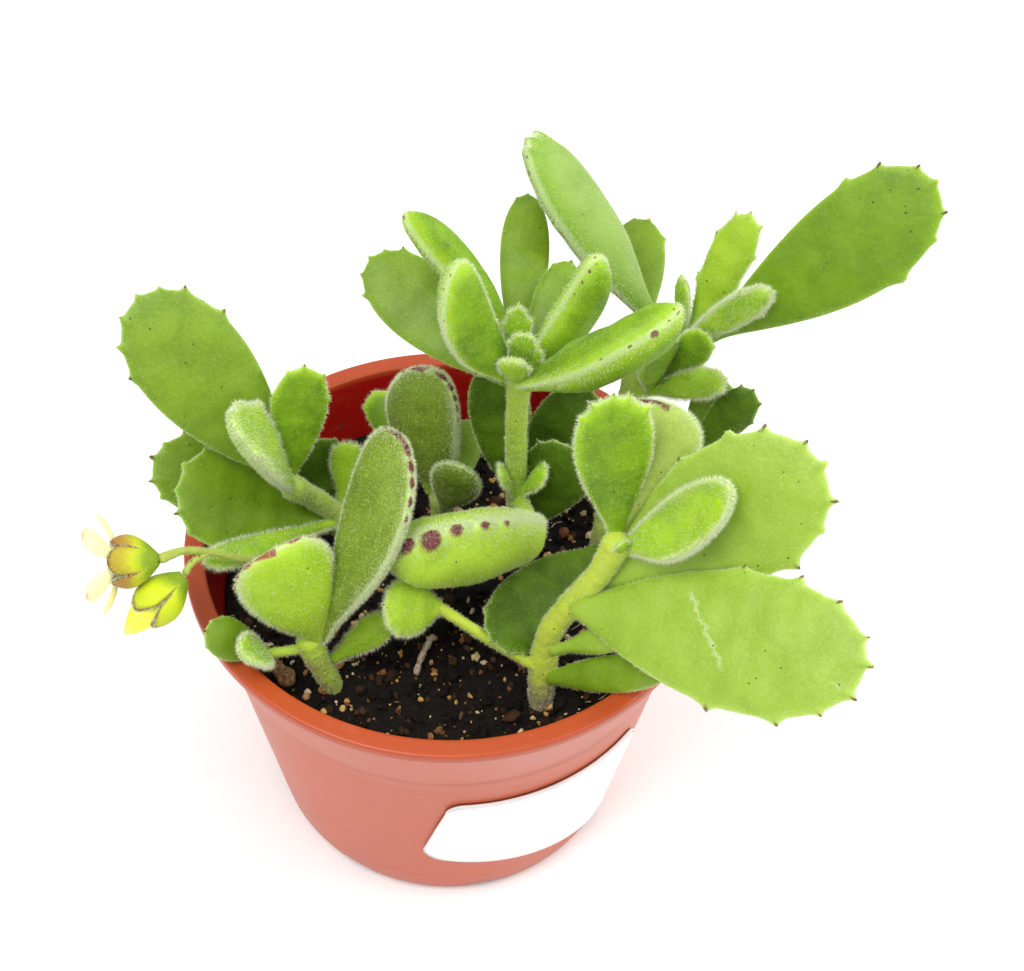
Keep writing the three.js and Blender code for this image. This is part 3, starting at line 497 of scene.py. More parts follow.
@dataclass(frozen=True)
class LeafFinish:
    """Living leaf: two greens in soft clouds, a painted glow of light through the thin margin in a brighter green, a
    pale margin line that is partly hair and partly painted sheen, claws, pale hair roots and peat specks.
    """

    name: str
    face: Colour
    deep: Colour
    glow: Colour
    claw: Colour
    frost: float = 0.15
    sheen: float = 0.2
    wool: float = 1.0
    glow_width: float = 0.45
    dry: Colour = (0.16, 0.08, 0.05)
    specks: float = 1.0
    gloss: float = 0.15
    crack: bool = False

    def material(self) -> bpy.types.Material:
        """Builds the material.

        Returns:
            The material, which reads the layers rim, claw, scar and along, and across where it is cracked.
        """
        paint = Paint(self.name)
        rim, claw, scar, along = (paint.layer(n) for n in ("rim", "claw", "scar", "along"))
        fine = paint.noise(1.5, 3, 0.7, twist=0.6)
        cloud = paint.noise(0.13, 3, 0.6, twist=0.4)
        colour = paint.blend(paint.step(cloud, 0.34, 0.64), self.deep, self.face)
        # Painted light: where the leaf thins to its margin it is laid over in the glow green, as if lit through the
        # edge.
        lit = paint.step(paint.plus(rim, cloud, 0.5), 1.15 - self.glow_width, 1.3)
        colour = paint.over(colour, self.glow, lit, 0.9)
        colour = paint.over(colour, self.glow, paint.step(along, 0.2, 0.0), 0.5)
        colour = paint.over(colour, self.glow, paint.step(paint.noise(1.1, 4, 0.75), 0.42, 0.7), 0.2)
        # Partly the margin's own dense hair, partly painted sheen: the white haze of hair seen edge-on along the
        # margin.
        colour = paint.over(colour, HAIR_SHEEN_LINE, paint.step(rim, 0.84, 1.0), min(0.75, 0.25 + 0.5 * self.wool))
        colour = paint.over(colour, HAIR_ROOT, paint.step(paint.noise(2.2, 3, 0.75), 0.46, 0.68), self.frost)
        colour = paint.over(colour, self.claw, paint.step(paint.plus(claw, fine, 0.25), 0.45, 0.75))
        colour = paint.over(colour, self.dry, paint.step(paint.plus(scar, fine, 0.5), 0.55, 0.95))
        if self.crack:
            colour = paint.over(colour, CORK, self.cracks(paint, along), 0.8)
        dirt = paint.step(paint.plus(paint.cells(0.3), fine, 0.12), 0.124, 0.108)
        colour = paint.over(colour, PEAT_SPECK, dirt, 0.85 * self.specks)
        paint.set(Roughness=0.5, Sheen_Weight=self.sheen, Sheen_Roughness=0.35, Sheen_Tint=(0.9, 1.0, 0.55),
                  Specular_IOR_Level=self.gloss, Subsurface_Weight=0.25, Subsurface_Radius=(0.5, 1.0, 0.15),
                  Subsurface_Scale=1.5 * MM)
        paint.relief(paint.plus(paint.maths("MULTIPLY", paint.noise(0.7, 2), 0.6), fine, 0.35), 0.25, 0.85)
        return paint.finish(colour)

    def cracks(self, paint: Paint, along: bpy.types.NodeSocket) -> bpy.types.NodeSocket:
        """Two healed cracks: pale bands that wander about straight lines over the leaf's own measures.

        Args:
            paint: the material being built.
            along: the share of the leaf's length.

        Returns:
            How much of the crack shows.
        """
        across = paint.plus(paint.layer("across"), paint.noise(0.6, 4, 0.75), 7.0)
        bands = []
        for low, high, start, slope, wide in ((0.425, 0.575, -3.0, 76, 0.42), (0.92, 0.945, 7.1, 60, 0.2)):
            line = paint.plus(start, paint.maths("SUBTRACT", along, low), slope)
            apart = paint.maths("ABSOLUTE", paint.maths("SUBTRACT", across, line), 0.0)
            ends = paint.maths("MULTIPLY", paint.step(along, low - 0.01, low + 0.01),
                               paint.step(along, high + 0.01, high - 0.01))
            bands.append(paint.maths("MULTIPLY", ends, paint.step(apart, wide * 2, wide)))
        return paint.maths("MAXIMUM", *bands)


class LeafLook(Enum):
    """The leaf finishes that grow on this plant, and a darker copy of them as painted shade for leaves that lie in
    shade.
    """

    BROAD = LeafFinish("leaf_broad_green", (0.160, 0.275, 0.004), (0.125, 0.225, 0.003), (0.21, 0.36, 0.006),
                       (0.10, 0.045, 0.02), 0.10, 0.03, 0.15, 0.3, gloss=0.4)
    GLOSSY = LeafFinish("leaf_broad_glossy", (0.155, 0.285, 0.003), (0.120, 0.230, 0.002), (0.22, 0.38, 0.004),
                        (0.10, 0.045, 0.02), 0.05, 0.02, 0.08, 0.5, gloss=0.4)
    CROWN = LeafFinish("leaf_crown_sage", (0.26, 0.39, 0.085), (0.20, 0.33, 0.055), (0.21, 0.40, 0.008),
                       (0.20, 0.10, 0.04), 0.16, 0.15, 0.7, 0.85, gloss=0.25)
    OLIVE = LeafFinish("leaf_round_olive", (0.32, 0.41, 0.080), (0.26, 0.35, 0.055), (0.40, 0.52, 0.10),
                       (0.12, 0.03, 0.035), 0.28, 0.15, 1.1, 0.4, dry=(0.12, 0.035, 0.04))
    PALE_BROAD = LeafFinish("leaf_broad_pale", (0.27, 0.42, 0.030), (0.23, 0.37, 0.018), (0.36, 0.52, 0.06),
                            (0.13, 0.06, 0.03), 0.16, 0.06, 0.2, 0.35, gloss=0.45)
    SCARRED = replace(PALE_BROAD, name="leaf_broad_scarred", crack=True)
    PLUMP = LeafFinish("leaf_plump_bright", (0.175, 0.33, 0.006), (0.105, 0.215, 0.006), (0.34, 0.55, 0.005),
                       (0.20, 0.10, 0.04), 0.09, 0.1, 0.6, 0.75, gloss=0.25)
    CLAWED = LeafFinish("leaf_clawed_olive", (0.145, 0.225, 0.016), (0.105, 0.17, 0.010), (0.21, 0.31, 0.02),
                        (0.12, 0.026, 0.032), 0.26, 0.15, 1.0, 0.4, dry=(0.11, 0.026, 0.03))
    PAW = LeafFinish("leaf_clawed_pale", (0.33, 0.50, 0.026), (0.27, 0.43, 0.022), (0.44, 0.63, 0.05),
                     (0.13, 0.028, 0.035), 0.22, 0.15, 1.0, 0.5, dry=(0.15, 0.045, 0.045))
    FLUSHED = LeafFinish("leaf_cupped_pale", (0.30, 0.48, 0.016), (0.24, 0.41, 0.012), (0.46, 0.64, 0.03),
                         (0.27, 0.09, 0.05), 0.22, 0.15, 1.0, 0.6)
    YOUNG = LeafFinish("leaf_young_woolly", (0.30, 0.50, 0.012), (0.20, 0.37, 0.012), (0.46, 0.64, 0.06),
                       (0.34, 0.52, 0.012), 0.3, 0.2, 1.7, 0.6, specks=0.5)
    # Painted shade: a darker copy of the leaf greens, for leaves that lie in shade.
    DARK = LeafFinish("leaf_shaded", (0.075, 0.150, 0.006), (0.042, 0.09, 0.004), (0.12, 0.21, 0.01),
                      (0.06, 0.03, 0.015), 0.06, 0.05, 0.2)


@dataclass(frozen=True)
class StemFinish:
    """Green stem that turns woody at the foot, with brown rings where leaves once grew."""

    name: str
    green: Colour
    foot: Colour
    foot_top: float

    def material(self) -> bpy.types.Material:
        """Builds the material, which reads the layer scar."""
        paint = Paint(self.name)
        cloud, fine = paint.noise(0.35, 3, 0.6), paint.noise(1.4, 3, 0.7)
        colour = paint.blend(cloud, self.green, tuple(min(1.0, 1.25 * c) for c in self.green))
        high, low = (self.foot_top + 6) * MM, (self.foot_top - 1) * MM
        woody = paint.step(paint.plus(paint.height(), cloud, 0.006), high, low)
        ring = paint.step(paint.plus(paint.layer("scar"), fine, 0.5), 0.7, 1.0)
        colour = paint.over(paint.over(colour, self.foot, woody), (0.14, 0.08, 0.035), ring)
        colour = paint.over(colour, (0.5, 0.6, 0.26), paint.step(fine, 0.5, 0.75), 0.2)
        colour = paint.over(colour, (0.02, 0.015, 0.01), paint.step(paint.cells(0.5), 0.12, 0.09), 0.8)
        paint.set(Roughness=0.55, Sheen_Weight=0.2, Sheen_Roughness=0.4, Specular_IOR_Level=0.3,
                  Subsurface_Weight=0.12, Subsurface_Radius=(0.5, 1.0, 0.2), Subsurface_Scale=1.0 * MM)
        paint.relief(paint.plus(paint.noise(0.8, 3), fine, 0.4), 0.35, 0.8)
        return paint.finish(colour)


@dataclass(frozen=True)
class HairFinish:
    """A fine white plant hair, matte with a little sheen."""

    name: str = "plant_hair"
    colour: Colour = (0.80, 0.87, 0.55)

    def material(self) -> bpy.types.Material:
        """Builds the material, the same all over because a hair is thinner than any pattern."""
        paint = Paint(self.name)
        paint.set(Base_Color=self.colour, Roughness=0.6, Specular_IOR_Level=0.2, Sheen_Weight=0.1)
        return paint.material


@dataclass(frozen=True)
class PotFinish:
    """Moulded polypropylene: a darker lip, faint streaks and scuffs, peat dust, and an inside painted darker and
    redder as shade.
    """

    side: Colour = (0.47, 0.076, 0.021)
    lip: Colour = (0.40, 0.060, 0.014)
    # The inside's colour is painted shade.
    inner: Colour = (0.34, 0.005, 0.003)

    def material(self) -> bpy.types.Material:
        """Builds the material, which reads the layers lip, inside and dusty."""
        paint = Paint("terracotta_plastic")
        cloud = paint.noise(0.05, 4, 0.6)
        colour = paint.blend(paint.step(cloud, 0.3, 0.7), tuple(0.93 * c for c in self.side), self.side)
        colour = paint.over(colour, self.lip, paint.layer("lip"))
        # Painted shade: the inside is laid over in a darker, redder colour than the outside.
        colour = paint.over(colour, self.inner, paint.layer("inside"))
        streak = paint.noise(0.12, 3, 0.65, stretch=(1, 1, 5), twist=0.3)
        colour = paint.over(colour, (0.60, 0.26, 0.17), paint.step(streak, 0.55, 0.8), 0.12)
        dust = paint.maths("MULTIPLY", paint.step(paint.noise(0.45, 4, 0.7), 0.6, 0.72), paint.layer("dusty"))
        colour = paint.over(colour, (0.05, 0.03, 0.02), dust)
        scuff = paint.step(paint.noise(0.9, 2, 0.5, stretch=(1, 1, 6)), 0.7, 0.78)
        colour = paint.over(colour, (0.70, 0.40, 0.30), scuff, 0.16)
        paint.links.new(paint.plus(0.27, cloud, 0.16), paint.shader.inputs["Roughness"])
        paint.set(Specular_IOR_Level=0.4, Coat_Weight=0.05, Coat_Roughness=0.3)
        paint.relief(paint.plus(paint.noise(2.2, 2, 0.6), cloud, 3.0), 0.06, 0.5)
        return paint.finish(colour)


@dataclass(frozen=True)
class LabelFinish:
    """A bare white sticker with a satin face."""

    white: Colour = (0.82, 0.82, 0.815)

    def material(self) -> bpy.types.Material:
        """Builds the material."""
        paint = Paint("label_paper")
        fibre = paint.noise(1.2, 3, 0.6, stretch=(1, 1, 0.5))
        colour = paint.blend(fibre, self.white, tuple(0.96 * c for c in self.white))
        paint.set(Roughness=0.42, Specular_IOR_Level=0.45)
        paint.relief(fibre, 0.05, 0.4)
        return paint.finish(colour)


@dataclass(frozen=True)
class EarthFinish:
    """Damp black peat, in crumbs of slightly different browns."""

    def material(self) -> bpy.types.Material:
        """Builds the material, which reads the layer tone on loose crumbs."""
        paint = Paint("peat")
        fine = paint.noise(1.1, 4, 0.7)
        colour = paint.ramp(fine, [(0.3, (0.002, 0.0015, 0.001)), (0.6, (0.009, 0.006, 0.004)),
                                   (0.8, (0.05, 0.028, 0.013))])
        colour = paint.over(colour, (0.10, 0.045, 0.018), paint.step(paint.layer("tone"), 0.7, 1.0), 0.7)
        paint.links.new(paint.plus(0.95, fine, -0.5), paint.shader.inputs["Roughness"])
        paint.set(Specular_IOR_Level=0.18)
        paint.relief(paint.maths("ADD", fine, paint.noise(3.0, 3)), 0.5, 1.0)
        return paint.finish(colour)


@dataclass(frozen=True)
class GritFinish:
    """Grit and pumice in the peat: ochre, rust, grey and off-white stones."""

    def material(self) -> bpy.types.Material:
        """Builds the material, which reads the layer tone."""
        paint = Paint("grit")
        stone = paint.ramp(paint.layer("tone"), [(0.0, (0.06, 0.03, 0.015)), (0.25, (0.26, 0.09, 0.025)),
                                                 (0.5, (0.50, 0.27, 0.06)), (0.75, (0.62, 0.42, 0.14)),
                                                 (1.0, (0.70, 0.60, 0.40))])
        fine = paint.noise(1.6, 4, 0.7)
        colour = paint.over(stone, (0.05, 0.03, 0.012), paint.step(fine, 0.5, 0.8))
        paint.set(Roughness=0.7)
        paint.relief(fine, 0.3, 1.0)
        return paint.finish(colour)


@dataclass(frozen=True)
class BarkFinish:
    """Dry wood: long fibres in tan and rust."""

    name: str
    light: Colour
    dark: Colour

    def material(self) -> bpy.types.Material:
        """Builds the material, whose noise is closest upwards, so that its fibres lie level."""
        paint = Paint(self.name)
        fibre = paint.noise(0.9, 4, 0.7, stretch=(1.4, 1.0, 3.0))
        colour = paint.blend(paint.step(fibre, 0.35, 0.65), self.dark, self.light)
        crack = paint.step(paint.noise(0.5, 3, 0.6), 0.6, 0.7)
        colour = paint.over(colour, tuple(0.2 * c for c in self.dark), crack, 0.8)
        paint.set(Roughness=0.85)
        paint.relief(fibre, 0.5, 1.0)
        return paint.finish(colour)


@dataclass(frozen=True)
class PetalFinish:
    """Thin petal: pale at the foot, with faint veins and a flushed tip."""

    name: str
    body: Colour
    foot: Colour
    flush: Colour
    flush_from: float = 0.86
    rim_flush: float = 0.0

    def material(self) -> bpy.types.Material:
        """Builds the material, which reads the layers along and rim."""
        paint = Paint(self.name)
        along, rim = paint.layer("along"), paint.layer("rim")
        vein = paint.noise(1.1, 3, 0.6, stretch=(1, 1, 0.4))
        colour = paint.blend(paint.step(along, 0.0, 0.55), self.foot, self.body)
        colour = paint.over(colour, tuple(0.8 * c for c in self.foot), paint.step(vein, 0.5, 0.7), 0.25)
        tip = paint.step(paint.plus(along, vein, 0.2), self.flush_from, self.flush_from + 0.22)
        edge = paint.maths("MULTIPLY", paint.step(paint.plus(rim, vein, 0.5), 0.5, 1.15), self.rim_flush)
        colour = paint.over(colour, self.flush, paint.maths("MAXIMUM", tip, edge))
        paint.set(Roughness=0.45, Sheen_Weight=0.2, Subsurface_Weight=0.3, Subsurface_Radius=(1.0, 0.9, 0.4),
                  Subsurface_Scale=0.8 * MM, Specular_IOR_Level=0.4)
        paint.relief(vein, 0.15, 0.7)
        return paint.finish(colour)


@dataclass(frozen=True)
class SepalFinish:
    """Calyx lobe: glowing yellow-green, rust towards the end of a blushed lobe, with a brown margin."""

    green: Colour = (0.20, 0.30, 0.012)
    glow: Colour = (0.52, 0.64, 0.012)
    rust: Colour = (0.33, 0.12, 0.03)
    brown: Colour = (0.17, 0.07, 0.03)

    def material(self) -> bpy.types.Material:
        """Builds the material, which reads the layers along, rim and tone."""
        paint = Paint("sepal")
        along, rim, tone = (paint.layer(n) for n in ("along", "rim", "tone"))
        fine = paint.noise(1.8, 3, 0.7)
        colour = paint.blend(paint.step(paint.plus(along, fine, 0.2), 0.25, 0.6), self.green, self.glow)
        blush = paint.maths("MULTIPLY", paint.step(paint.plus(along, fine, 0.5), 0.5, 1.0), tone)
        colour = paint.over(colour, self.rust, blush)
        colour = paint.over(colour, self.brown, paint.step(paint.plus(rim, fine, 0.3), 0.5, 1.0), 0.85)
        paint.set(Roughness=0.55, Specular_IOR_Level=0.25, Subsurface_Weight=0.25, Subsurface_Radius=(1.0, 0.9, 0.3),
                  Subsurface_Scale=0.8 * MM)
        paint.relief(fine, 0.2, 0.7)
        return paint.finish(colour)


# ---- leaves ----


FOOT_DEPTH = 1.4


@dataclass(frozen=True)
class LeafForm:
    """One leaf: where it leaves its stem, how it is turned, and its measures in millimetres.

    The turn is heading, rise and roll in degrees. full below 1 puts the broadest part near the base, and
    above 1 near the tip. bow arches the midrib, cup lifts the sides and sweep bends it sideways. claws
    are raised points and scars are dry pits, each at a share of the length, a share of the half turn
    round the section (0.5 is the margin, below 0 the left side) and a size. hollow lowers the upper face
    and fine multiplies the grid.
    """

    name: str
    base: Point
    turn: tuple[float, float, float]
    length: float
    width: float
    thick: float
    neck: float
    teeth: int
    tooth: float
    full: float = 1.0
    bow: float = 0.0
    cup: float = 0.0
    sweep: float = 0.0
    small: bool = False
    hollow: float = 0.0
    fine: float = 1.0
    look: LeafLook = LeafLook.BROAD
    claws: tuple[tuple[float, float, float], ...] = ()
    scars: tuple[tuple[float, float, float], ...] = ()

    def skin(self, columns: int = 60, rings: int = 14) -> Skin:
        """The leaf's surface along +Y with its upper face to +Z.

        Columns run from the base up one side, over the tip and down the other, at t = 1 - (1 - s)^2 of
        the length. The half width there is the fourth root of blade^4 + neck^4, where the blade is
        t^full times the square root of 1 - t. Each column is half an oval section from the upper midrib
        round the margin to the lower one: out = sin^0.85, lift = the signed cos^1.15, which leaves a
        crease at the margin. The upper face is lowered by the hollow's share. A tooth stands out of the
        margin by (1 - |sin|)^2.6 of its phase, times out^7. Low waves roughen the faces, the foot
        reaches back into the stem, and the marks move points away from the leaf's axis.

        Args:
            columns: columns on each side.
            rings: steps from the upper midrib to the lower one.

        Returns:
            The closed surface with the layers rim, claw, scar, along, across and wool.
        """
        columns, rings = (columns * 3 // 4, rings - 2) if self.small else (
            round(columns * self.fine), 2 * round(rings * self.fine / 2))
        i = np.arange(-columns, columns + 1)[:, None]
        k = np.arange(rings + 1)[None]
        tau = 1 - np.abs(i) / columns
        t = 1 - (1 - tau) ** 2
        neck = self.neck * np.sqrt(1 - (1 - np.minimum(t / 0.06, 1)) ** 2) * np.sqrt(1 - t)
        peak = self.full / (self.full + 0.5)
        blade = self.width / 2 * t**self.full * np.sqrt(1 - t) / (peak**self.full * np.sqrt(1 - peak))
        half = (blade**4 + neck**4) ** 0.25
        y = self.length * t
        rib = self.length * 0.74 * (1 - (1 - t) ** 1.5)
        seed = sum(map(ord, self.name)) % 97
        phase = (1 - tau) * (4 if self.small else 6)
        phase = phase + 0.1 * np.sin(2.6 * phase + seed + 1.3 * np.sign(i))
        shown = (self.teeth > 0) & (phase <= (self.teeth - 1) / 2 + 0.5)
        cusp = np.where(shown, (1 - np.abs(np.sin(np.pi * phase))) ** 2.6, 0)
        vary = 1 + 0.25 * np.sin(2.4 * np.round(phase) + seed + (i < 0))
        reach = np.hypot(half, y - rib) + 1e-9
        swell = np.minimum(t / 0.45, 1)
        stout = 2 * self.neck + (self.thick - 2 * self.neck) * swell**2 * (3 - 2 * swell)
        angle = np.pi * k / rings
        out = np.where(k % rings == 0, 0, np.sin(angle) ** 0.85)
        lift = np.sign(np.cos(angle)) * np.abs(np.cos(angle)) ** 1.15 * (2 * k != rings)
        far = out**7 * cusp * vary * self.tooth / reach
        px, py = half * (out + far), rib + (y - rib) * (out + far)
        share = np.clip(py / self.length, 0, 1)
        arch = 4 * share * (1 - share)
        py = py - FOOT_DEPTH * (1 - ease(share, 0, 0.12))
        above = 0.4 * (1 - self.hollow * ease(t, 0.1, 0.4))
        high = lift * np.where(lift > 0, above, 0.6) * stout * np.sqrt(1 - (1 - np.minimum(t / 0.08, 1)) ** 2)
        side = np.where(i < 0, -1, 1) * px
        fade = ease(t, 0.05, 0.3)
        wave = 0.1 * np.sin(0.42 * py + seed) * np.sin(0.5 * side + 2 * seed) + 0.05 * np.sin(1.1 * py - seed)
        high = high + fade * wave * (lift + 0.6) + self.cup * px * px / (self.width / 2)
        grid = np.stack([side + self.sweep * self.length * arch + 0 * high, py + 0 * high,
                         high + self.bow * self.length * arch], -1)
        number = np.arange(grid.shape[0] * (rings + 1)).reshape(grid.shape[:2])
        number[:columns, [0, -1]] = number[::-1][:columns, [0, -1]]
        number[0] = number[-1] = number[-1, 0]
        turn = np.where(i < 0, -1, 1) * angle / np.pi
        scar, point, rise = self.marks(share, turn, np.hypot(half, stout / 2))
        axis = np.stack([self.sweep * self.length * arch, py, self.bow * self.length * arch], -1)
        away = grid - axis
        grid = grid + rise[..., None] * away / np.maximum(np.linalg.norm(away, axis=-1, keepdims=True), 0.3)
        layers = {"rim": out**5 + 0 * t, "claw": np.maximum(cusp**3 * out**12, point),
                  "scar": scar, "along": share + 0 * out, "across": side + 0 * out,
                  "wool": self.look.value.wool * (1 - 0.8 * ease(np.maximum(point, scar), 0.2, 0.6))}
        return packed(grid, number, layers)

    def marks(self, share: np.ndarray, turn: np.ndarray, span: np.ndarray) -> tuple[np.ndarray, ...]:
        """The claws and the scars: at the distance d, a claw of size a rises by 0.7 a (1 - d / a)^1.3.

        A scar sinks by 0.17 of its size, with a step eased from 0.3 to 1.2 of it.

        Args:
            share: the share of the length.
            turn: the share of the half turn round the section.
            span: half the section's diagonal.

        Returns:
            How much of a scar and how much of a claw each point is, and how far it rises.
        """
        scar, point, rise = np.zeros((3, *share.shape))
        for at, round_, size in (*self.scars, *self.claws):
            apart = np.minimum(np.abs(turn - round_), 2 - np.abs(turn - round_))
            spot = np.hypot((share - at) * self.length, apart * 2.6 * span) / size
            if (at, round_, size) in self.claws:
                peak = np.clip(1 - spot, 0, 1) ** 1.3
                point, rise = np.maximum(point, peak), np.maximum(rise, 0.7 * size * peak)
            else:
                dry = 1 - ease(spot, 0.3, 1.2)
                scar, rise = np.maximum(scar, dry), np.minimum(rise, -0.17 * size * dry)
        return scar, point, rise

    def frame(self) -> np.ndarray:
        """The turn that lays the leaf's axes along its heading, rise and roll, as 4 by 4."""
        h, e, r = np.radians(self.turn)
        along = np.array([np.cos(e) * np.cos(h), np.cos(e) * np.sin(h), np.sin(e)])
        up = np.array([-np.sin(e) * np.cos(h), -np.sin(e) * np.sin(h), np.cos(e)])
        up = up * np.cos(r) + np.cross(along, up) * np.sin(r)
        made = np.eye(4)
        made[:3, 0], made[:3, 1], made[:3, 2], made[:3, 3] = np.cross(along, up), along, up, self.base
        return made

    def placed(self) -> Skin:
        """The leaf's surface where it grows."""
        return self.skin().moved(self.frame())


L = LeafLook


def small(*measures: object, look: LeafLook = L.BROAD, cup: float = 0.0) -> LeafForm:
    """A small leaf, which takes a coarser grid.

    Args:
        measures: a leaf's values up to full, in their order.
        look: its finish.
        cup: how far its sides lift.

    Returns:
        The leaf.
    """
    return LeafForm(*measures, cup=cup, small=True, look=look)


@dataclass
class Shoot:
    """A stem with its twigs, the youngest leaves that are one piece with it, and its own leaves."""

    name: str
    points: list[Point]
    radius: float
    finish: StemFinish
    twigs: list[tuple[list[Point], float]] = field(default_factory=list)
    young: list[LeafForm] = field(default_factory=list)
    leaves: list[LeafForm] = field(default_factory=list)
    sunk: float = 8
    sides: int = 22
    wool: float = 0.6
    young_wool: float = 1.2

    def stem_skin(self) -> Skin:
        """The stem's surface: a tube that swells at its foot, its top and where a twig leaves it."""
        foot = self.points[0]
        below = (foot[0], foot[1], foot[2] - self.sunk)
        line = smooth_line([below, *self.points, self.past(self.points, self.radius)], 0.55)
        knots = [self.points[-1]] + [twig[0][0] for twig in self.twigs]
        skins = [self.shaft(line, self.radius, knots)]
        for path, radius in self.twigs:
            skins.append(self.shaft(smooth_line([*path, self.past(path, radius)], 0.45), radius, [path[0]]))
        return joined(skins).painted(0)

    @staticmethod
    def past(points: list[Point], reach: float) -> Point:
        """The point a reach beyond the last of the points, straight on from the one before it."""
        last, way = np.array(points[-1]), np.subtract(points[-1], points[-2])
        return tuple(last + way / np.linalg.norm(way) * reach)

    def shaft(self, line: np.ndarray, radius: float, knots: list[Point]) -> Skin:
        """One tube: its radius swells by a fifth round each knot and waves slightly along the line.

        Args:
            line: its stations.
            radius: its plain radius.
            knots: where it swells.

        Returns:
            The tube with the layers rim, wool and scar, which is strongest a little way off each knot.
        """
        run = reached(line)
        swell, scar = np.zeros(len(line)), np.zeros(len(line))
        for knot in knots:
            gap = np.linalg.norm(line - np.array(knot), axis=1)
            swell = np.maximum(swell, np.exp(-((gap / (1.3 * radius)) ** 2)))
            scar = np.maximum(scar, 0.42 * np.exp(-(((gap - 2.2 * radius) / 0.8) ** 2)))
        wave = 0.03 * np.sin(0.9 * run + radius) + 0.02 * np.sin(2.3 * run)
        even = np.ones(len(line))
        layers = {"scar": scar, "rim": 0.55 * even, "wool": self.wool * even}
        return tube(line, radius * (1 + wave + 0.2 * swell), self.sides, layers)

    def build(self, finishes: dict[LeafLook, bpy.types.Material]) -> list[Skin]:
        """Makes the stem and leaf pieces.

        Args:
            finishes: the leaf materials by look.

        Returns:
            The surfaces that carry hair.
        """
        young = [leaf.placed().painted(1) for leaf in self.young]
        for skin in young:
            skin.layers["wool"] = np.full(len(skin.points), self.young_wool)
        stem = joined([self.stem_skin(), *young])
        materials = [self.finish.material(), finishes[LeafLook.YOUNG]]
        grown(f"{self.name}_grown", stem, materials[: 1 + bool(young)], "stem", self.name)
        coats = [stem]
        for leaf in self.leaves:
            skin = leaf.placed()
            grown(f"{leaf.name}_grown", skin, [finishes[leaf.look]], "leaf", leaf.name)
            coats.append(skin)
        return coats


GREEN_STEM = (0.34, 0.48, 0.035)
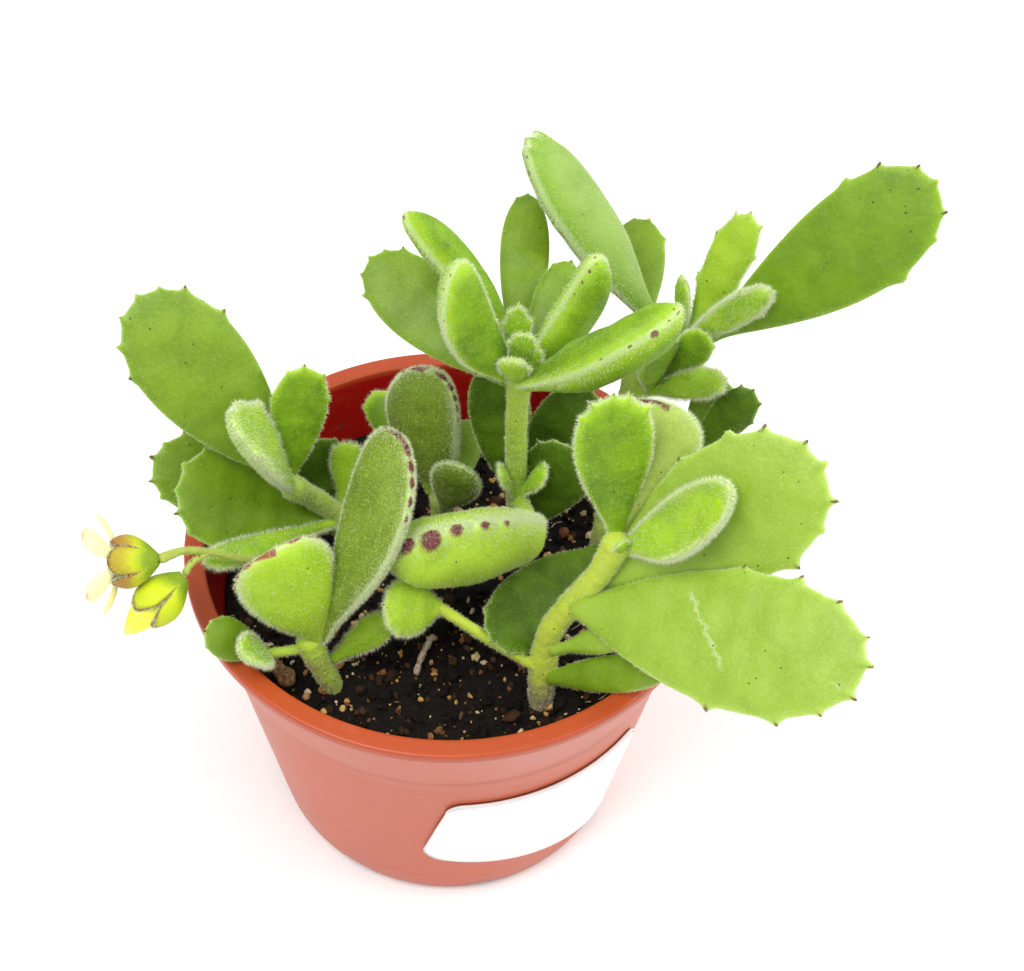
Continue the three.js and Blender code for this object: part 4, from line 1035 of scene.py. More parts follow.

# Leaves with the dark look lie in shade; their darker green is painted shade.
SHOOTS = [
    Shoot(
        "stem_front_left", [(-21, -27, 58), (-23, -28, 66), (-25, -28, 74)], 2.1,
        StemFinish("stem_front_left_bark", GREEN_STEM, (0.26, 0.28, 0.08), 58),
        twigs=[([(-25, -28, 72), (-29, -29, 72), (-33, -30, 72)], 1)],
        young=[LeafForm("sprig", (-21, -26, 66), (18, 38, 45), 15, 6, 2.4, 1, 3, 0.5)],
        leaves=[
            LeafForm("leaf_tall_front", (-23.5, -27, 74), (59, 53, -20), 42.5, 15, 9, 2, 0, 1, 1.15, bow=0.05,
                     sweep=0.12, fine=1.6, look=L.CLAWED, claws=((0.995, 0.5, 2.0), (0.965, 0.5, 2.4),
                     (0.915, 0.5, 2.5), (0.86, 0.5, 2.4), (0.79, 0.5, 2.3), (0.72, 0.5, 1.9), (0.985, -0.5, 2.0),
                     (0.94, -0.5, 1.8), (0.88, -0.5, 1.4))),
            LeafForm("leaf_cupped_front", (-23.5, -27, 74), (-165, 76, 103), 28, 18, 6, 1.8, 0, 1, 0.95, cup=0.2,
                     hollow=0.6, fine=1.6, look=L.FLUSHED, claws=((0.9, -0.5, 1.3), (0.97, -0.5, 1.5),
                     (1, 0.5, 1.7), (0.95, 0.5, 1.8), (0.87, 0.5, 1.6), (0.78, 0.5, 1.3))),
            small("leaf_left_tiny", (-33, -29.5, 72.5), (-162, 41, -38), 14, 8, 3, 1, 3, 0.5, 0.9),
            small("leaf_left_curled", (-32.5, -30.5, 72.5), (-116, 52, -34), 12, 7, 3, 1, 3, 0.5, 0.7, cup=0.35,
                  look=L.YOUNG),
        ],
    ),
    Shoot(
        "stem_left", [(-16, 7, 58), (-20, 4, 70), (-25, 1, 80), (-30, -3, 89)], 2.1,
        StemFinish("stem_left_bark", (0.36, 0.48, 0.07), (0.22, 0.26, 0.07), 60),
        young=[LeafForm("side_shoot", (-22, 4, 76), (70, 68, 20), 14, 6.5, 2.2, 1, 5, 0.5, 1.6)],
        leaves=[
            LeafForm("leaf_left_broad", (-30.5, -1.5, 89.5), (156, 48, -36), 45, 20.5, 3.4, 1.9, 7, 1.3, 0.95,
                     bow=0.03),
            small("leaf_left_upright", (-31, -1.5, 89), (61, 72, 40), 25, 10.5, 3, 1.3, 5, 0.8, 1, look=L.PLUMP),
            small("leaf_left_young", (-30, -4, 90.5), (-159, 66, -14), 24, 12, 4.5, 1.3, 5, 1.0, 0.75, cup=0.35,
                  look=L.YOUNG),
            LeafForm("leaf_left_low", (-22.5, 2, 72), (-159, 36, -40), 37, 19, 3.2, 1.8, 9, 1.2, 1.35, bow=0.03),
            LeafForm("leaf_left_behind", (-22.5, 3.5, 71.5), (-177, 28, -43), 39, 15, 3.2, 1.6, 7, 1.1, 1.4),
            small("leaf_left_inner", (-22.5, 4.5, 72), (130, 67, -24), 18, 11, 2.6, 1.3, 5, 0.8, 1, look=L.DARK),
            small("leaf_under_flower", (-22.5, 1, 75), (-135, 21, -13), 33, 5.5, 2.6, 1.1, 3, 0.4, 1.5,
                  look=L.YOUNG),
        ],
    ),
    Shoot(
        "stem_centre", [(13, 11, 58), (13, 10, 73), (12, 9, 92), (12, 8, 111)], 2.1,
        StemFinish("stem_centre_bark", (0.30, 0.44, 0.02), (0.2, 0.26, 0.05), 60),
        twigs=[([(13, 9, 75), (14.5, 3, 77.5), (15.5, -4, 80.5)], 1.7)],
        young=[
            small("baby_left", (11.5, 8, 78), (-150, 70, 150), 9, 3.8, 2, 0.9, 5, 0.7, 1.1),
            small("baby_right", (14, 8, 78), (-20, 64, -150), 10, 4.6, 2, 0.9, 5, 0.8, 1.1),
            small("tip_front", (11.5, 6.5, 110.5), (-100, 66, 180), 10, 5.6, 2.6, 1.2, 5, 0.8, 0.8),
            small("tip_back", (11.5, 8.5, 111), (100, 80, 0), 14, 4.8, 2, 1.1, 7, 0.9, 0.8),
            small("tip_left", (10.8, 7.6, 111), (170, 76, -80), 7.5, 4.2, 2, 1, 3, 0.4, 0.9),
            small("tip_right", (12.6, 7.4, 111), (-10, 76, 80), 8.5, 4.4, 2, 1, 3, 0.4, 0.9),
            small("tip_core", (11.8, 7.4, 112), (-60, 82, 150), 11, 4.6, 1.8, 1, 7, 0.9, 1.0),
        ],
        leaves=[
            LeafForm("leaf_claw_centre", (15.5, -5, 81), (-150, 19, 68), 32, 19, 13, 4.6, 0, 1, 0.35, fine=1.6,
                     look=L.PAW, claws=((0.995, -0.5, 2.6), (0.95, -0.53, 2.8), (0.69, -0.54, 3.2),
                     (0.51, -0.55, 2.6), (0.36, -0.56, 2.0), (0.84, -0.56, 4.2)), scars=((0.84, -0.56, 1.3),)),
            LeafForm("leaf_low_back_left", (12, 11.5, 74), (126, 72, -28), 30, 12, 3, 1.5, 3, 0.6, 0.85,
                     look=L.DARK),
            LeafForm("leaf_low_back_right", (14, 11, 76), (28, 59, 42), 26, 13, 3, 1.5, 5, 0.8, 0.85, look=L.DARK),
            LeafForm("leaf_top_left", (10.5, 8, 111), (177, 69, -44), 28, 10, 9, 1.4, 0, 0.4, 0.6, sweep=-0.12,
                     fine=1.6, look=L.PLUMP, claws=((0.97, -0.5, 0.5), (0.9, -0.55, 0.4)),
                     scars=((0.83, -0.64, 0.4), (0.79, -0.62, 0.3), (0.72, -0.5, 0.35))),
            LeafForm("leaf_top_right", (12.5, 9.5, 111), (26, 58, -76), 27, 9, 8, 1.4, 0, 0.5, 0.7, sweep=-0.12,
                     fine=1.6, look=L.PLUMP, claws=((0.99, 0.5, 0.5), (0.97, 0.6, 0.5)), scars=((0.9, 0.6, 0.5),
                     (0.81, 0.6, 0.4), (0.7, 0.6, 0.3))),
            LeafForm("leaf_top_left_back", (11.5, 9.5, 109), (149, 47, -156), 37, 9, 7, 1.4, 0, 0.6, 0.9,
                     sweep=-0.12, look=L.PLUMP, claws=((0.99, 0.5, 0.8), (0.9, 0.52, 0.4))),
            LeafForm("leaf_top_back", (12, 10.5, 106), (90, 23, 1), 39.5, 9.5, 3.4, 1.4, 3, 0.8, 1.1),
            LeafForm("leaf_flat_left", (11.5, 9.5, 106.5), (147, 21, -26), 36.5, 15, 3.4, 1.6, 5, 1, 0.95),
            LeafForm("leaf_long_right", (12.5, 6.5, 110.5), (-3, 38, -20), 35, 10, 9.5, 1.7, 0, 0.5, 0.65,
                     sweep=0.12, fine=1.6, look=L.PLUMP, claws=((0.99, 0.5, 0.6), (0.95, 0.5, 0.4)),
                     scars=((0.87, 0.54, 1.0), (0.75, 0.5, 0.55), (0.59, 0.45, 0.4))),
            small("leaf_top_inner", (12.5, 10, 107.5), (67, 31, 16), 24.5, 8, 3, 1.1, 3, 0.5, 1.2),
            LeafForm("leaf_dark_back", (14, 9.5, 62.5), (-13, 73, 82), 31, 14, 3, 1.5, 5, 0.8, 1.5, look=L.DARK),
        ],
    ),
    Shoot(
        "stem_back_right", [(30, 9, 58), (31, 12, 72), (34, 25, 88), (36, 33, 102)], 2.1,
        StemFinish("stem_back_right_bark", (0.3, 0.42, 0.05), (0.24, 0.18, 0.08), 66),
        twigs=[([(34, 24, 87), (40, 27, 95), (45, 29, 102)], 1.8)],
        young=[LeafForm("young_right", (44, 30.5, 101), (110, 74, 94), 13, 5, 2.4, 1.1, 3, 0.5, 0.9)],
        leaves=[
            LeafForm("leaf_crown", (37, 34.5, 102), (159, 52, -172), 44, 15.6, 9, 1.9, 3, 1.2, 0.85, fine=1.6,
                     look=L.CROWN, claws=((0.97, 0.5, 0.6),), scars=((0.91, 0.42, 0.8), (0.8, 0.36, 0.7),
                     (0.61, 0.42, 0.9))),
            small("leaf_crown_behind", (37, 34, 101.5), (98, 15, -21), 24, 11, 3, 1.3, 5, 0.8, 1),
            LeafForm("leaf_far_right", (46, 28, 102), (-2, 48, 55), 58, 20, 3.4, 1.9, 7, 1.3, 1.25, bow=0.03,
                     sweep=0.02, look=L.GLOSSY),
            small("leaf_right_upright", (45, 30.5, 101.5), (42, 61, 21), 27, 8.4, 3, 1.2, 7, 1.0, 1.05,
                  look=L.PAW),
            small("leaf_right_woolly", (45, 28, 103), (-32, 54, 97), 25, 5.4, 4, 1.2, 5, 0.8, 0.8, look=L.YOUNG),
            small("leaf_right_fold", (38, 24.5, 92.5), (-75, 77, -157), 18, 9, 3.4, 1.2, 3, 0.5, 0.8,
                  look=L.PLUMP),
            small("leaf_right_pale", (41, 26, 95), (-28, 62, 82), 16, 7, 3, 1.1, 3, 0.5, 1, look=L.PLUMP),
            small("leaf_right_bud", (37.5, 24.5, 91.5), (-23, 33, 65), 18, 5.8, 3.6, 1.1, 5, 0.8, 1, look=L.YOUNG),
            LeafForm("leaf_low_front", (30, 8, 62), (-121, 17, -28), 42, 15, 3, 1.5, 5, 0.8, 0.9, look=L.DARK),
        ],
    ),
    Shoot(
        "stem_back_low", [(36, 15, 58), (40, 17, 70), (46, 17, 82)], 1.6,
        StemFinish("stem_back_low_bark", (0.26, 0.36, 0.05), (0.22, 0.17, 0.08), 66),
        leaves=[
            small("leaf_right_low", (46.5, 18, 82), (44, 58, 27), 16, 9, 3, 1.1, 5, 0.7, 1),
            small("leaf_right_brown", (47, 16.5, 82.5), (5, 59, 53), 20, 8, 3, 1.1, 5, 0.7, 1, look=L.DARK),
        ],
    ),
    Shoot(
        "stem_middle_back", [(-3, 10, 58), (-3, 13, 63), (-3, 14, 68)], 1.7,
        StemFinish("stem_middle_back_bark", (0.26, 0.38, 0.05), (0.2, 0.22, 0.06), 58),
        leaves=[
            LeafForm("leaf_middle_back", (-1.5, 14, 68), (117, 71, -60), 30, 17, 9, 1.7, 0, 0.9, 0.85,
                     sweep=-0.12, fine=1.6, look=L.CLAWED, claws=((0.97, 0.5, 1.9), (0.91, 0.5, 2.2),
                     (0.84, 0.5, 2.2), (0.76, 0.5, 2.1), (0.67, 0.5, 1.8), (0.99, -0.5, 1.8), (0.94, -0.5, 1.6))),
            small("leaf_middle_slim", (-2.5, 14.5, 64), (74, 25, 3), 20.5, 8, 3, 1.1, 3, 0.5, 1.1),
            small("leaf_middle_low", (-2, 12.5, 67.5), (-37, 73, -70), 16, 10, 4, 1.2, 3, 0.5, 1, look=L.CLAWED),
            small("leaf_middle_left", (-3.5, 15.5, 66), (133, 36, -38), 25.5, 7.5, 2.4, 1, 5, 0.6, 2.4,
                  look=L.PLUMP),
        ],
    ),
    Shoot(
        "stem_front_right",
        [(19, -29, 58), (19, -26, 66), (20, -24, 75), (24, -23, 83), (28, -23, 91), (31, -22, 99)], 2.4,
        StemFinish("stem_front_right_bark", (0.38, 0.48, 0.03), (0.2, 0.17, 0.09), 65),
        twigs=[([(19, -27, 67), (11, -25, 71), (-1, -21, 77)], 1.1)],
        young=[small("bud", (31, -23, 98), (-60, 70, 0), 5, 2.6, 1.8, 0.9, 1, 0.2, 0.8)],
        leaves=[
            LeafForm("leaf_front_upright", (31, -20, 98), (117, 78, -11), 31, 14.4, 5, 1.7, 5, 1.2, 1.15,
                     look=L.PLUMP),
            LeafForm("leaf_front_cupped", (33, -22, 99), (-18, 53, 40), 27, 10.5, 7, 1.4, 0, 0.4, 0.75, cup=0.42,
                     sweep=0.08, hollow=0.9, fine=1.6, look=L.YOUNG, claws=((0.66, 0.22, 2.2), (0.78, 0.24, 2.4),
                     (0.89, 0.26, 2.2))),
            LeafForm("leaf_round_back", (30, -21, 94), (60, 53, -163), 30.5, 15.5, 7, 1.5, 0, 0.5, 1.9, fine=1.6,
                     look=L.OLIVE, claws=((0.94, 0.5, 1.5),), scars=((0.97, 0.56, 1.0), (0.985, 0.7, 0.9))),
            LeafForm("leaf_wide_right", (27.5, -21.5, 86.5), (-3, 45, 49), 52, 25, 3.6, 2, 11, 1.7, 1, bow=0.03,
                     look=L.PALE_BROAD),
            LeafForm("leaf_large_front", (24, -25, 84), (-29, 21, 41), 59, 24.5, 3.8, 2, 9, 1.5, 0.9, bow=0.03,
                     fine=1.4, look=L.SCARRED),
            small("leaf_small_bright", (-1, -21, 77), (-150, 31, -46), 13, 11, 4, 1.2, 5, 0.7, 0.8, look=L.PAW),
            small("leaf_stalk_right", (20.5, -26.5, 72.5), (-19, 41, 50), 18, 5.5, 3, 1.2, 3, 0.5, 1.4,
                  look=L.PALE_BROAD),
            small("leaf_low_right", (20, -28, 66), (-25, 36, 47), 29, 7, 3, 1.3, 3, 0.5, 0.7),
        ],
    ),
]


# ---- hair ----


@dataclass
class HairCoat:
    """Short white hairs all over the green parts, closer together and longer along the margins."""

    density: float = 2.95
    length: float = 1.0
    thickness: float = 0.075
    most: int = 45000
    on_faces: float = 0.6
    on_margins: float = 10
    lean: float = 0.3
    sag: float = 0.08
    root_depth: float = 0.08

    def grow(self, name: str, skins: list[Skin], seed: int, finish: bpy.types.Material) -> None:
        """Plants the hairs: each is a slim closed needle of four triangles.

        A root is drawn on a face with a chance that follows its area times the sum of on_faces times
        wool^2 and on_margins times wool^0.7 times the fringe, which is rim^3. The hair points along the
        surface normal, plus lean times a seeded draw, and sags a little. Its length is 0.6 to 1.2 of the
        mean, times the wool to the power 0.4, and times 0.4 on a face, rising to 1 at the rim.

        Args:
            name: the piece's name.
            skins: what the hairs grow on.
            seed: which draws.
            finish: the hair's material.
        """
        body = joined(skins)
        rng = np.random.default_rng(seed)
        corners = body.points[body.faces]
        area = np.linalg.norm(np.cross(corners[:, 1] - corners[:, 0], corners[:, 2] - corners[:, 0]), axis=1) / 2
        rim, wool = (body.layers[layer][body.faces].mean(1) for layer in ("rim", "wool"))
        fringe = rim**3
        weight = area * (self.on_faces * wool**2 + self.on_margins * wool**0.7 * fringe)
        count = min(self.most, int(self.density * weight.sum()))
        chosen = np.searchsorted(np.cumsum(weight) / weight.sum(), rng.uniform(0, 1, count)).clip(0, len(area) - 1)
        u, v = rng.uniform(0, 1, (2, count))
        flip = u + v > 1
        u, v = np.where(flip, 1 - u, u), np.where(flip, 1 - v, v)
        share = np.stack([1 - u - v, u, v], 1)[..., None]
        root = (corners[chosen] * share).sum(1)
        normal = (body.normals()[body.faces[chosen]] * share).sum(1)
        lean = rng.normal(size=(count, 3)) * self.lean
        way = normed(normal + lean + np.array([0, 0, -self.sag]))
        side = normed(np.cross(way, rng.normal(size=(count, 3))))
        other = np.cross(way, side)
        reach = self.length * (0.4 + 0.6 * np.sqrt(fringe[chosen])) * wool[chosen] ** 0.4
        long = (reach * rng.uniform(0.6, 1.2, count))[:, None]
        thick = self.thickness / 2 * rng.uniform(0.8, 1.2, (count, 1))
        foot = root - self.root_depth * way
        ring = [foot + thick * (np.cos(a) * side + np.sin(a) * other) for a in (0, 2.0944, 4.1888)]
        points = np.stack([*ring, root + long * way], 1).reshape(-1, 3)
        needle = np.array([(0, 1, 3), (1, 2, 3), (2, 0, 3), (0, 2, 1)])
        faces = (needle[None] + 4 * np.arange(count)[:, None, None]).reshape(-1, 3)
        grown(name, Skin(points, faces), [finish], "leaf")


# ---- pot, soil and label ----


@dataclass
class Pot:
    """The round nursery pot: one moulding with a lip, a tapering band under it and notches in its foot."""

    height: float = 73
    base_radius: float = 36.2
    taper: float = 0.179
    rim_radius: float = 52
    mouth_radius: float = 48
    lip_edge: float = 2.2
    band_bottom: float = 56
    band_step: float = 0.3
    wall: float = 1.3
    foot_radius: float = 2.6
    notches: int = 8
    notch_width: float = 7
    notch_height: float = 2.2
    steps: int = 256

    def body_radius(self, z: float) -> float:
        """Outer radius of the body under the band."""
        return self.base_radius + self.taper * z

    def inner_radius(self, z: float) -> float:
        """Radius of the inner wall: parallel to the body, then widening to the mouth."""
        shoulder = self.body_radius(self.band_bottom) - self.wall
        if z < self.band_bottom:
            return self.body_radius(z) - self.wall
        return shoulder + (self.mouth_radius - shoulder) * (z - self.band_bottom) / (self.height - self.band_bottom)

    def profile(self) -> tuple[np.ndarray, np.ndarray]:
        """The moulding's section from the middle of its underside round the lip to the inner floor.

        Returns:
            Radius and height at each point, and for each the values of the layers lip, inside and dusty.
        """
        bend = np.radians(np.linspace(0, 80, 9))
        foot_r = self.base_radius - self.foot_radius * (1 - np.sin(bend))
        foot_z = self.foot_radius * (1 - np.cos(bend))
        shoulder, top, rim = self.body_radius(self.band_bottom), self.height, self.rim_radius
        round_ = np.radians(np.linspace(0, 90, 6))
        rows = [(r, 0.0, 0, 0, 0) for r in (0, 12, 24, 29.5, 30.6, 30.8, 32.2)]
        rows += [(r, z, 0, 0, 0) for r, z in zip(foot_r, foot_z)]
        rows += [(self.body_radius(z), z, 0, 0, 0) for z in np.linspace(4, self.band_bottom - 0.5, 14)]
        band = self.band_bottom
        rows += [(shoulder + 0.05, band - 0.3, 0, 0, 0), (shoulder + 0.18, band - 0.1, 0, 0, 0),
                 (shoulder + self.band_step, band + 0.15, 0, 0, 0)]
        edge = top - self.lip_edge
        for s in np.linspace(0.1, 0.97, 8):
            rows.append((shoulder + self.band_step + (rim - 0.6 - shoulder - self.band_step) * s,
                         band + 0.15 + (edge - band - 0.3) * s, 0, 0, 0))
        rows += [(rim - 0.45, edge - 0.05, 0.4, 0, 0), (rim - 0.15, edge + 0.12, 1, 0, 0), (rim, edge + 0.4, 1, 0, 0)]
        rows += [(rim - 0.6 + 0.6 * np.cos(a), top - 0.6 + 0.6 * np.sin(a), 1, 0, 0) for a in round_]
        rows += [(r, top - 0.02, 1, 0, 0) for r in (rim - 1.4, rim - 2.4, rim - 3.2)]
        rows += [(self.mouth_radius + 0.5 - 0.5 * np.sin(a), top - 0.5 + 0.5 * np.cos(a), 1, 0.1, 0.1)
                 for a in round_[1:]]
        rows += [(self.inner_radius(z), z, 0, 1, 0.5 + 0.5 * (z < 66)) for z in (71.6, 70, 67, 64, 61, 58.6, 56.4)]
        rows += [(self.inner_radius(z), z, 0, 1, 1) for z in (55, 50, 40, 25, 12, 5, 3.3)]
        rows += [(self.inner_radius(3.3) - 0.6, 1.9, 0, 1, 1), (self.inner_radius(3.3) - 2, self.wall, 0, 1, 1),
                 (18, self.wall, 0, 1, 1), (0, self.wall, 0, 1, 1)]
        table = np.array(rows, float)
        return table[:, :2], table[:, 2:]

    def skin(self) -> Skin:
        """The pot's surface: the section turned round, with the foot raised in each notch.

        A notch is where the angle's distance from its middle is under half its width; there, every point
        near the foot that is lower than the notch's height is lifted to it. The rim wavers by 0.06 mm,
        as a thin moulding does.

        Returns:
            The closed surface with the layers lip, inside and dusty.
        """
        section, values = self.profile()
        grid = turned(section, self.steps)
        angle = once_round(self.steps)[None]
        pitch = 2 * np.pi / self.notches
        off = np.abs((angle / pitch - 0.35 + 0.5) % 1 - 0.5) * pitch * self.base_radius
        ceiling = self.notch_height * (1 - ease(off, self.notch_width / 2 - 0.35, self.notch_width / 2))
        near = (section[:, 0] > 30.7)[:, None] & (section[:, 1] < 6)[:, None] & (
            np.arange(len(section)) < 24)[:, None]
        grid[..., 2] = np.where(near, np.maximum(grid[..., 2], ceiling), grid[..., 2])
        waver = 1 + 0.0012 * np.sin(2 * angle + 0.7) * ease(grid[..., 2], 40, 73)
        grid[..., :2] *= waver[..., None]
        layers = {n: np.broadcast_to(values[:, k, None], grid.shape[:2]) for k, n in enumerate(
            ("lip", "inside", "dusty"))}
        return ringed(grid, layers)

    def build(self) -> None:
        """Makes the pot."""
        grown("pot_moulding", self.skin(), [PotFinish().material()], "pot", "pot")


@dataclass
class Label:
    """The bare white sticker, a rounded patch of the pot's side."""

    pot: Pot
    start: float = -94
    end: float = -31
    lean: float = 6
    top: float = 46
    bottom_left: float = 20
    bottom_right: float = 8
    corner: float = 4
    gap: float = 0.3
    thickness: float = 0.6
    bevel: float = 0.15

    def layer(self, offset: float, across: int, down: int) -> np.ndarray:
        """One face of the sticker: a sheet of the pot's cone that stands off by the offset.

        Across it runs evenly in the cosine of u, and at each side the height closes in by the rounding
        corner * (1 - sqrt(1 - (1 - c)^2)), with c the distance from the side.

        Args:
            offset: the distance from the pot.
            across: steps round the pot.
            down: steps up.

        Returns:
            The grid of points.
        """
        u = 0.5 - 0.5 * np.cos(np.linspace(0, np.pi, across))[:, None]
        v = np.linspace(0, 1, down)[None]
        bottom = self.bottom_left + (self.bottom_right - self.bottom_left) * u
        close = np.minimum(1, np.minimum(u, 1 - u) * 12)
        inset = self.corner * (1 - np.sqrt(1 - (1 - close) ** 2))
        z = bottom + inset + (self.top - bottom - 2 * inset) * v
        angle = np.radians(self.start + self.lean * v * (1 - u) + (self.end - self.start) * u)
        r = self.pot.base_radius + self.pot.taper * z + offset
        return around(r, angle, z)

    def build(self) -> None:
        """Makes the sticker: the inner and the outer face, joined round their edge."""
        across, down = 90, 16

        def outline(sheet: np.ndarray) -> np.ndarray:
            """The edge of a grid, once round."""
            return np.concatenate([sheet[:-1, 0], sheet[-1, :-1], sheet[:0:-1, -1], sheet[0, :0:-1]])

        faces = [self.layer(self.gap + self.thickness * s, across, down) for s in (0, 0.15, 0.85, 1)]
        inner, outer = faces[0], faces[3]
        for sheet in (inner, outer):
            middle = sheet.reshape(-1, 3).mean(0)
            sheet += normed(middle - sheet) * self.bevel
        rims = [outline(sheet) for sheet in faces[1:3]]
        flat = np.arange(across * down).reshape(across, down)
        order, size = outline(flat), flat.size
        count = np.arange(len(order))
        wall = np.stack([order, 2 * size + count, 2 * size + len(order) + count, size + order])
        wall = np.concatenate([wall, wall[:, :1]], 1)
        points = np.concatenate([inner.reshape(-1, 3), outer.reshape(-1, 3), *rims])
        skin = Skin(points, np.concatenate([woven(flat), woven(flat + size)[:, ::-1], woven(wall)[:, ::-1]]))
        grown("label_blank", skin.outward(), [LabelFinish().material()], "label", "label")


@dataclass
class Soil:
    """Black peat with crumbs, grit, a bark chip, a dry stalk and a few fibres."""

    pot: Pot
    level: float = 58.5
    mound: float = 1.4
    rounds: int = 200
    chip_at: tuple[float, float] = (-31.5, -24.5)
    chip_turn: float = -0.9
    crumbs: tuple[tuple, ...] = ((1500, 0.3, 1.3, 31), (60, 1.2, 2.1, 35))
    grit: tuple[tuple, ...] = ((900, 0.25, 0.8, 33), (110, 0.6, 1.35, 37))

    def height(self, x: np.ndarray, y: np.ndarray) -> np.ndarray:
        """Height of the bed: a low mound, long ripples, and peat lumps as value noise."""
        share = np.hypot(x, y) / self.pot.inner_radius(self.level)
        ripple = 0.35 * np.sin(0.31 * x + 1) * np.cos(0.27 * y) + 0.2 * np.sin(0.62 * y + 0.4 * x)
        crumb = 0.5 * rough(x, y, 5, 3.4, 3) + 0.28 * np.abs(rough(x, y, 9, 1.3, 2))
        return self.level + self.mound * (1 - share**2) + (ripple + crumb) * (1 - np.clip(share, 0, 1) ** 12)

    def bed(self) -> Skin:
        """The bed: the height over a disc of rings, closed by its side and floor inside the pot."""
        edge = self.pot.inner_radius(self.level) - 0.5
        turn = once_round(self.rounds)
        reach = edge * np.sqrt(np.linspace(0, 1, 76)) ** 1.3
        x, y = reach[:, None] * np.cos(turn), reach[:, None] * np.sin(turn)
        top = np.stack([x, y, self.height(x, y)], -1)
        outline = np.array([(self.pot.inner_radius(56) - 0.5, 56), (self.pot.inner_radius(6.5) - 0.6, 6.5),
                            (self.pot.inner_radius(2.5) - 3, 2.5), (0, 2.5)])
        return ringed(np.concatenate([top, turned(outline, self.rounds)]))

    def scattered(self, count: int, low: float, high: float, seed: int) -> tuple[np.ndarray, np.ndarray]:
        """Places and sizes of loose pieces on the bed.

        Args:
            count: how many.
            low, high: the range of their radii; most are near the low end.
            seed: which draws.

        Returns:
            The centres and the radii.
        """
        rng = np.random.default_rng(seed)
        size = low + (high - low) * rng.uniform(0, 1, count) ** 2.5
        reach = (self.pot.inner_radius(self.level) - 1.0 - size) * np.sqrt(rng.uniform(0, 1, count))
        angle = rng.uniform(0, 2 * np.pi, count)
        x, y = reach * np.cos(angle), reach * np.sin(angle)
        return np.stack([x, y, self.height(x, y) + 0.35 * size], 1), size

    def chip(self) -> Skin:
        """The bark chip: a flat uneven bar, its section a soft rectangle that noise roughens."""
        s = np.linspace(0, 1, 40)[:, None]
        turn = once_round(28)[None]
        wide = 1.7 * np.sin(np.pi * np.clip(s, 0.02, 0.98)) ** 0.25 * (1 + 0.2 * np.sin(9 * s + 1))
        wide[[0, -1]] = 0
        square = (np.abs(np.cos(turn)) ** 4 + np.abs(np.sin(turn)) ** 4) ** -0.25
        lump = 1 + 0.14 * rough(8 * s + 0 * turn, 3 * np.cos(turn) + 2 * s, 21, 1.0, 3)
        local = np.stack([8 * (s - 0.5) + 0 * turn, wide * square * np.cos(turn) * lump,
                          0.62 * wide * square * np.sin(turn) * lump], -1)
        c, t = np.cos(self.chip_turn), np.sin(self.chip_turn)
        spin = np.array([[c, -t, 0], [t, c, 0], [0, 0, 1]])
        return ringed(local @ spin.T + np.array(self.spot(*self.chip_at, 0.7)))

    def spot(self, x: float, y: float, lift: float) -> Point:
        """The point over x and y that is so high above the bed."""
        return x, y, float(self.height(np.array(x), np.array(y))) + lift

    def fibres(self, count: int = 26, seed: int = 41, far: float = 32, radius: float = 0.13) -> Skin:
        """Fine roots on the bed: a bent tube each, at a drawn place, heading and length."""
        rng = np.random.default_rng(seed)
        made = []
        for x, y in rng.uniform(-far, far, (count, 2)):
            way = rng.uniform(0, 2 * np.pi)
            mid = rng.uniform(1.2, 3.2)
            turns = [(mid * k * np.cos(way + 0.3 * k), mid * k * np.sin(way + 0.3 * k)) for k in (0, 1, 2)]
            line = smooth_line([self.spot(x + a, y + b, 0.35) for a, b in turns], 0.6)
            made.append(tube(line, np.full(len(line), radius), 6))
        return joined(made)

    def build(self) -> None:
        """Makes the bed, the loose crumbs, the grit, the chip, the dry stalk and the fibres."""
        peat, grit = EarthFinish().material(), GritFinish().material()
        wood = BarkFinish("bark", (0.42, 0.25, 0.10), (0.12, 0.055, 0.02)).material()
        straw = BarkFinish("dry_stalk", (0.60, 0.50, 0.36), (0.26, 0.19, 0.12)).material()
        grown("soil_bed", self.bed(), [peat], "soil", "soil")
        loose = joined([lumps(*self.scattered(*run), run[-1] + 1) for run in self.crumbs])
        grown("soil_crumbs", loose, [peat], "soil", smooth=False)
        stones = joined([lumps(*self.scattered(*run), run[-1] + 1, run[1] > 0.5) for run in self.grit])
        grown("soil_grit", stones, [grit], "soil", smooth=False)
        grown("soil_bark_chip", self.chip(), [wood], "soil")
        z = self.level + 1.2
        path = smooth_line([(-5.5, -24.5, z - 2.5), (-5, -22.8, z + 0.8), (-3.8, -20, z + 2.8),
                            (-2.2, -17, z + 3.8)], 0.4)
        stalk = tube(path, 0.62 + 0.1 * np.sin(np.arange(len(path))), 12)
        grown("soil_dry_stalk", stalk, [straw], "soil")
        grown("soil_fibres", self.fibres(), [straw], "soil")


# ---- flower ----


def facing(at: Point, heading: float, rise: float) -> np.ndarray:
    """The shortest turn that lays +Z along a heading and rise, as 4 by 4 with its place."""
    h, e = np.radians([heading, rise])
    along = np.array([np.cos(e) * np.cos(h), np.cos(e) * np.sin(h), np.sin(e)])
    v = np.cross([0, 0, 1], along)
    cross = np.array([[0, -v[2], v[1]], [v[2], 0, -v[0]], [-v[1], v[0], 0]])
    made = np.eye(4)
    made[:3, :3] = np.eye(3) + cross + cross @ cross / (1 + along[2])
    made[:3, 3] = at
    return made


def turned_by(axis: int, angle: float) -> np.ndarray:
    """A turn about an axis, in degrees, as 4 by 4."""
    c, s = np.cos(np.radians(angle)), np.sin(np.radians(angle))
    i, j = [(1, 2), (2, 0), (0, 1)][axis]
    made = np.eye(4)
    made[i, i] = made[j, j] = c
    made[i, j], made[j, i] = -s, s
    return made


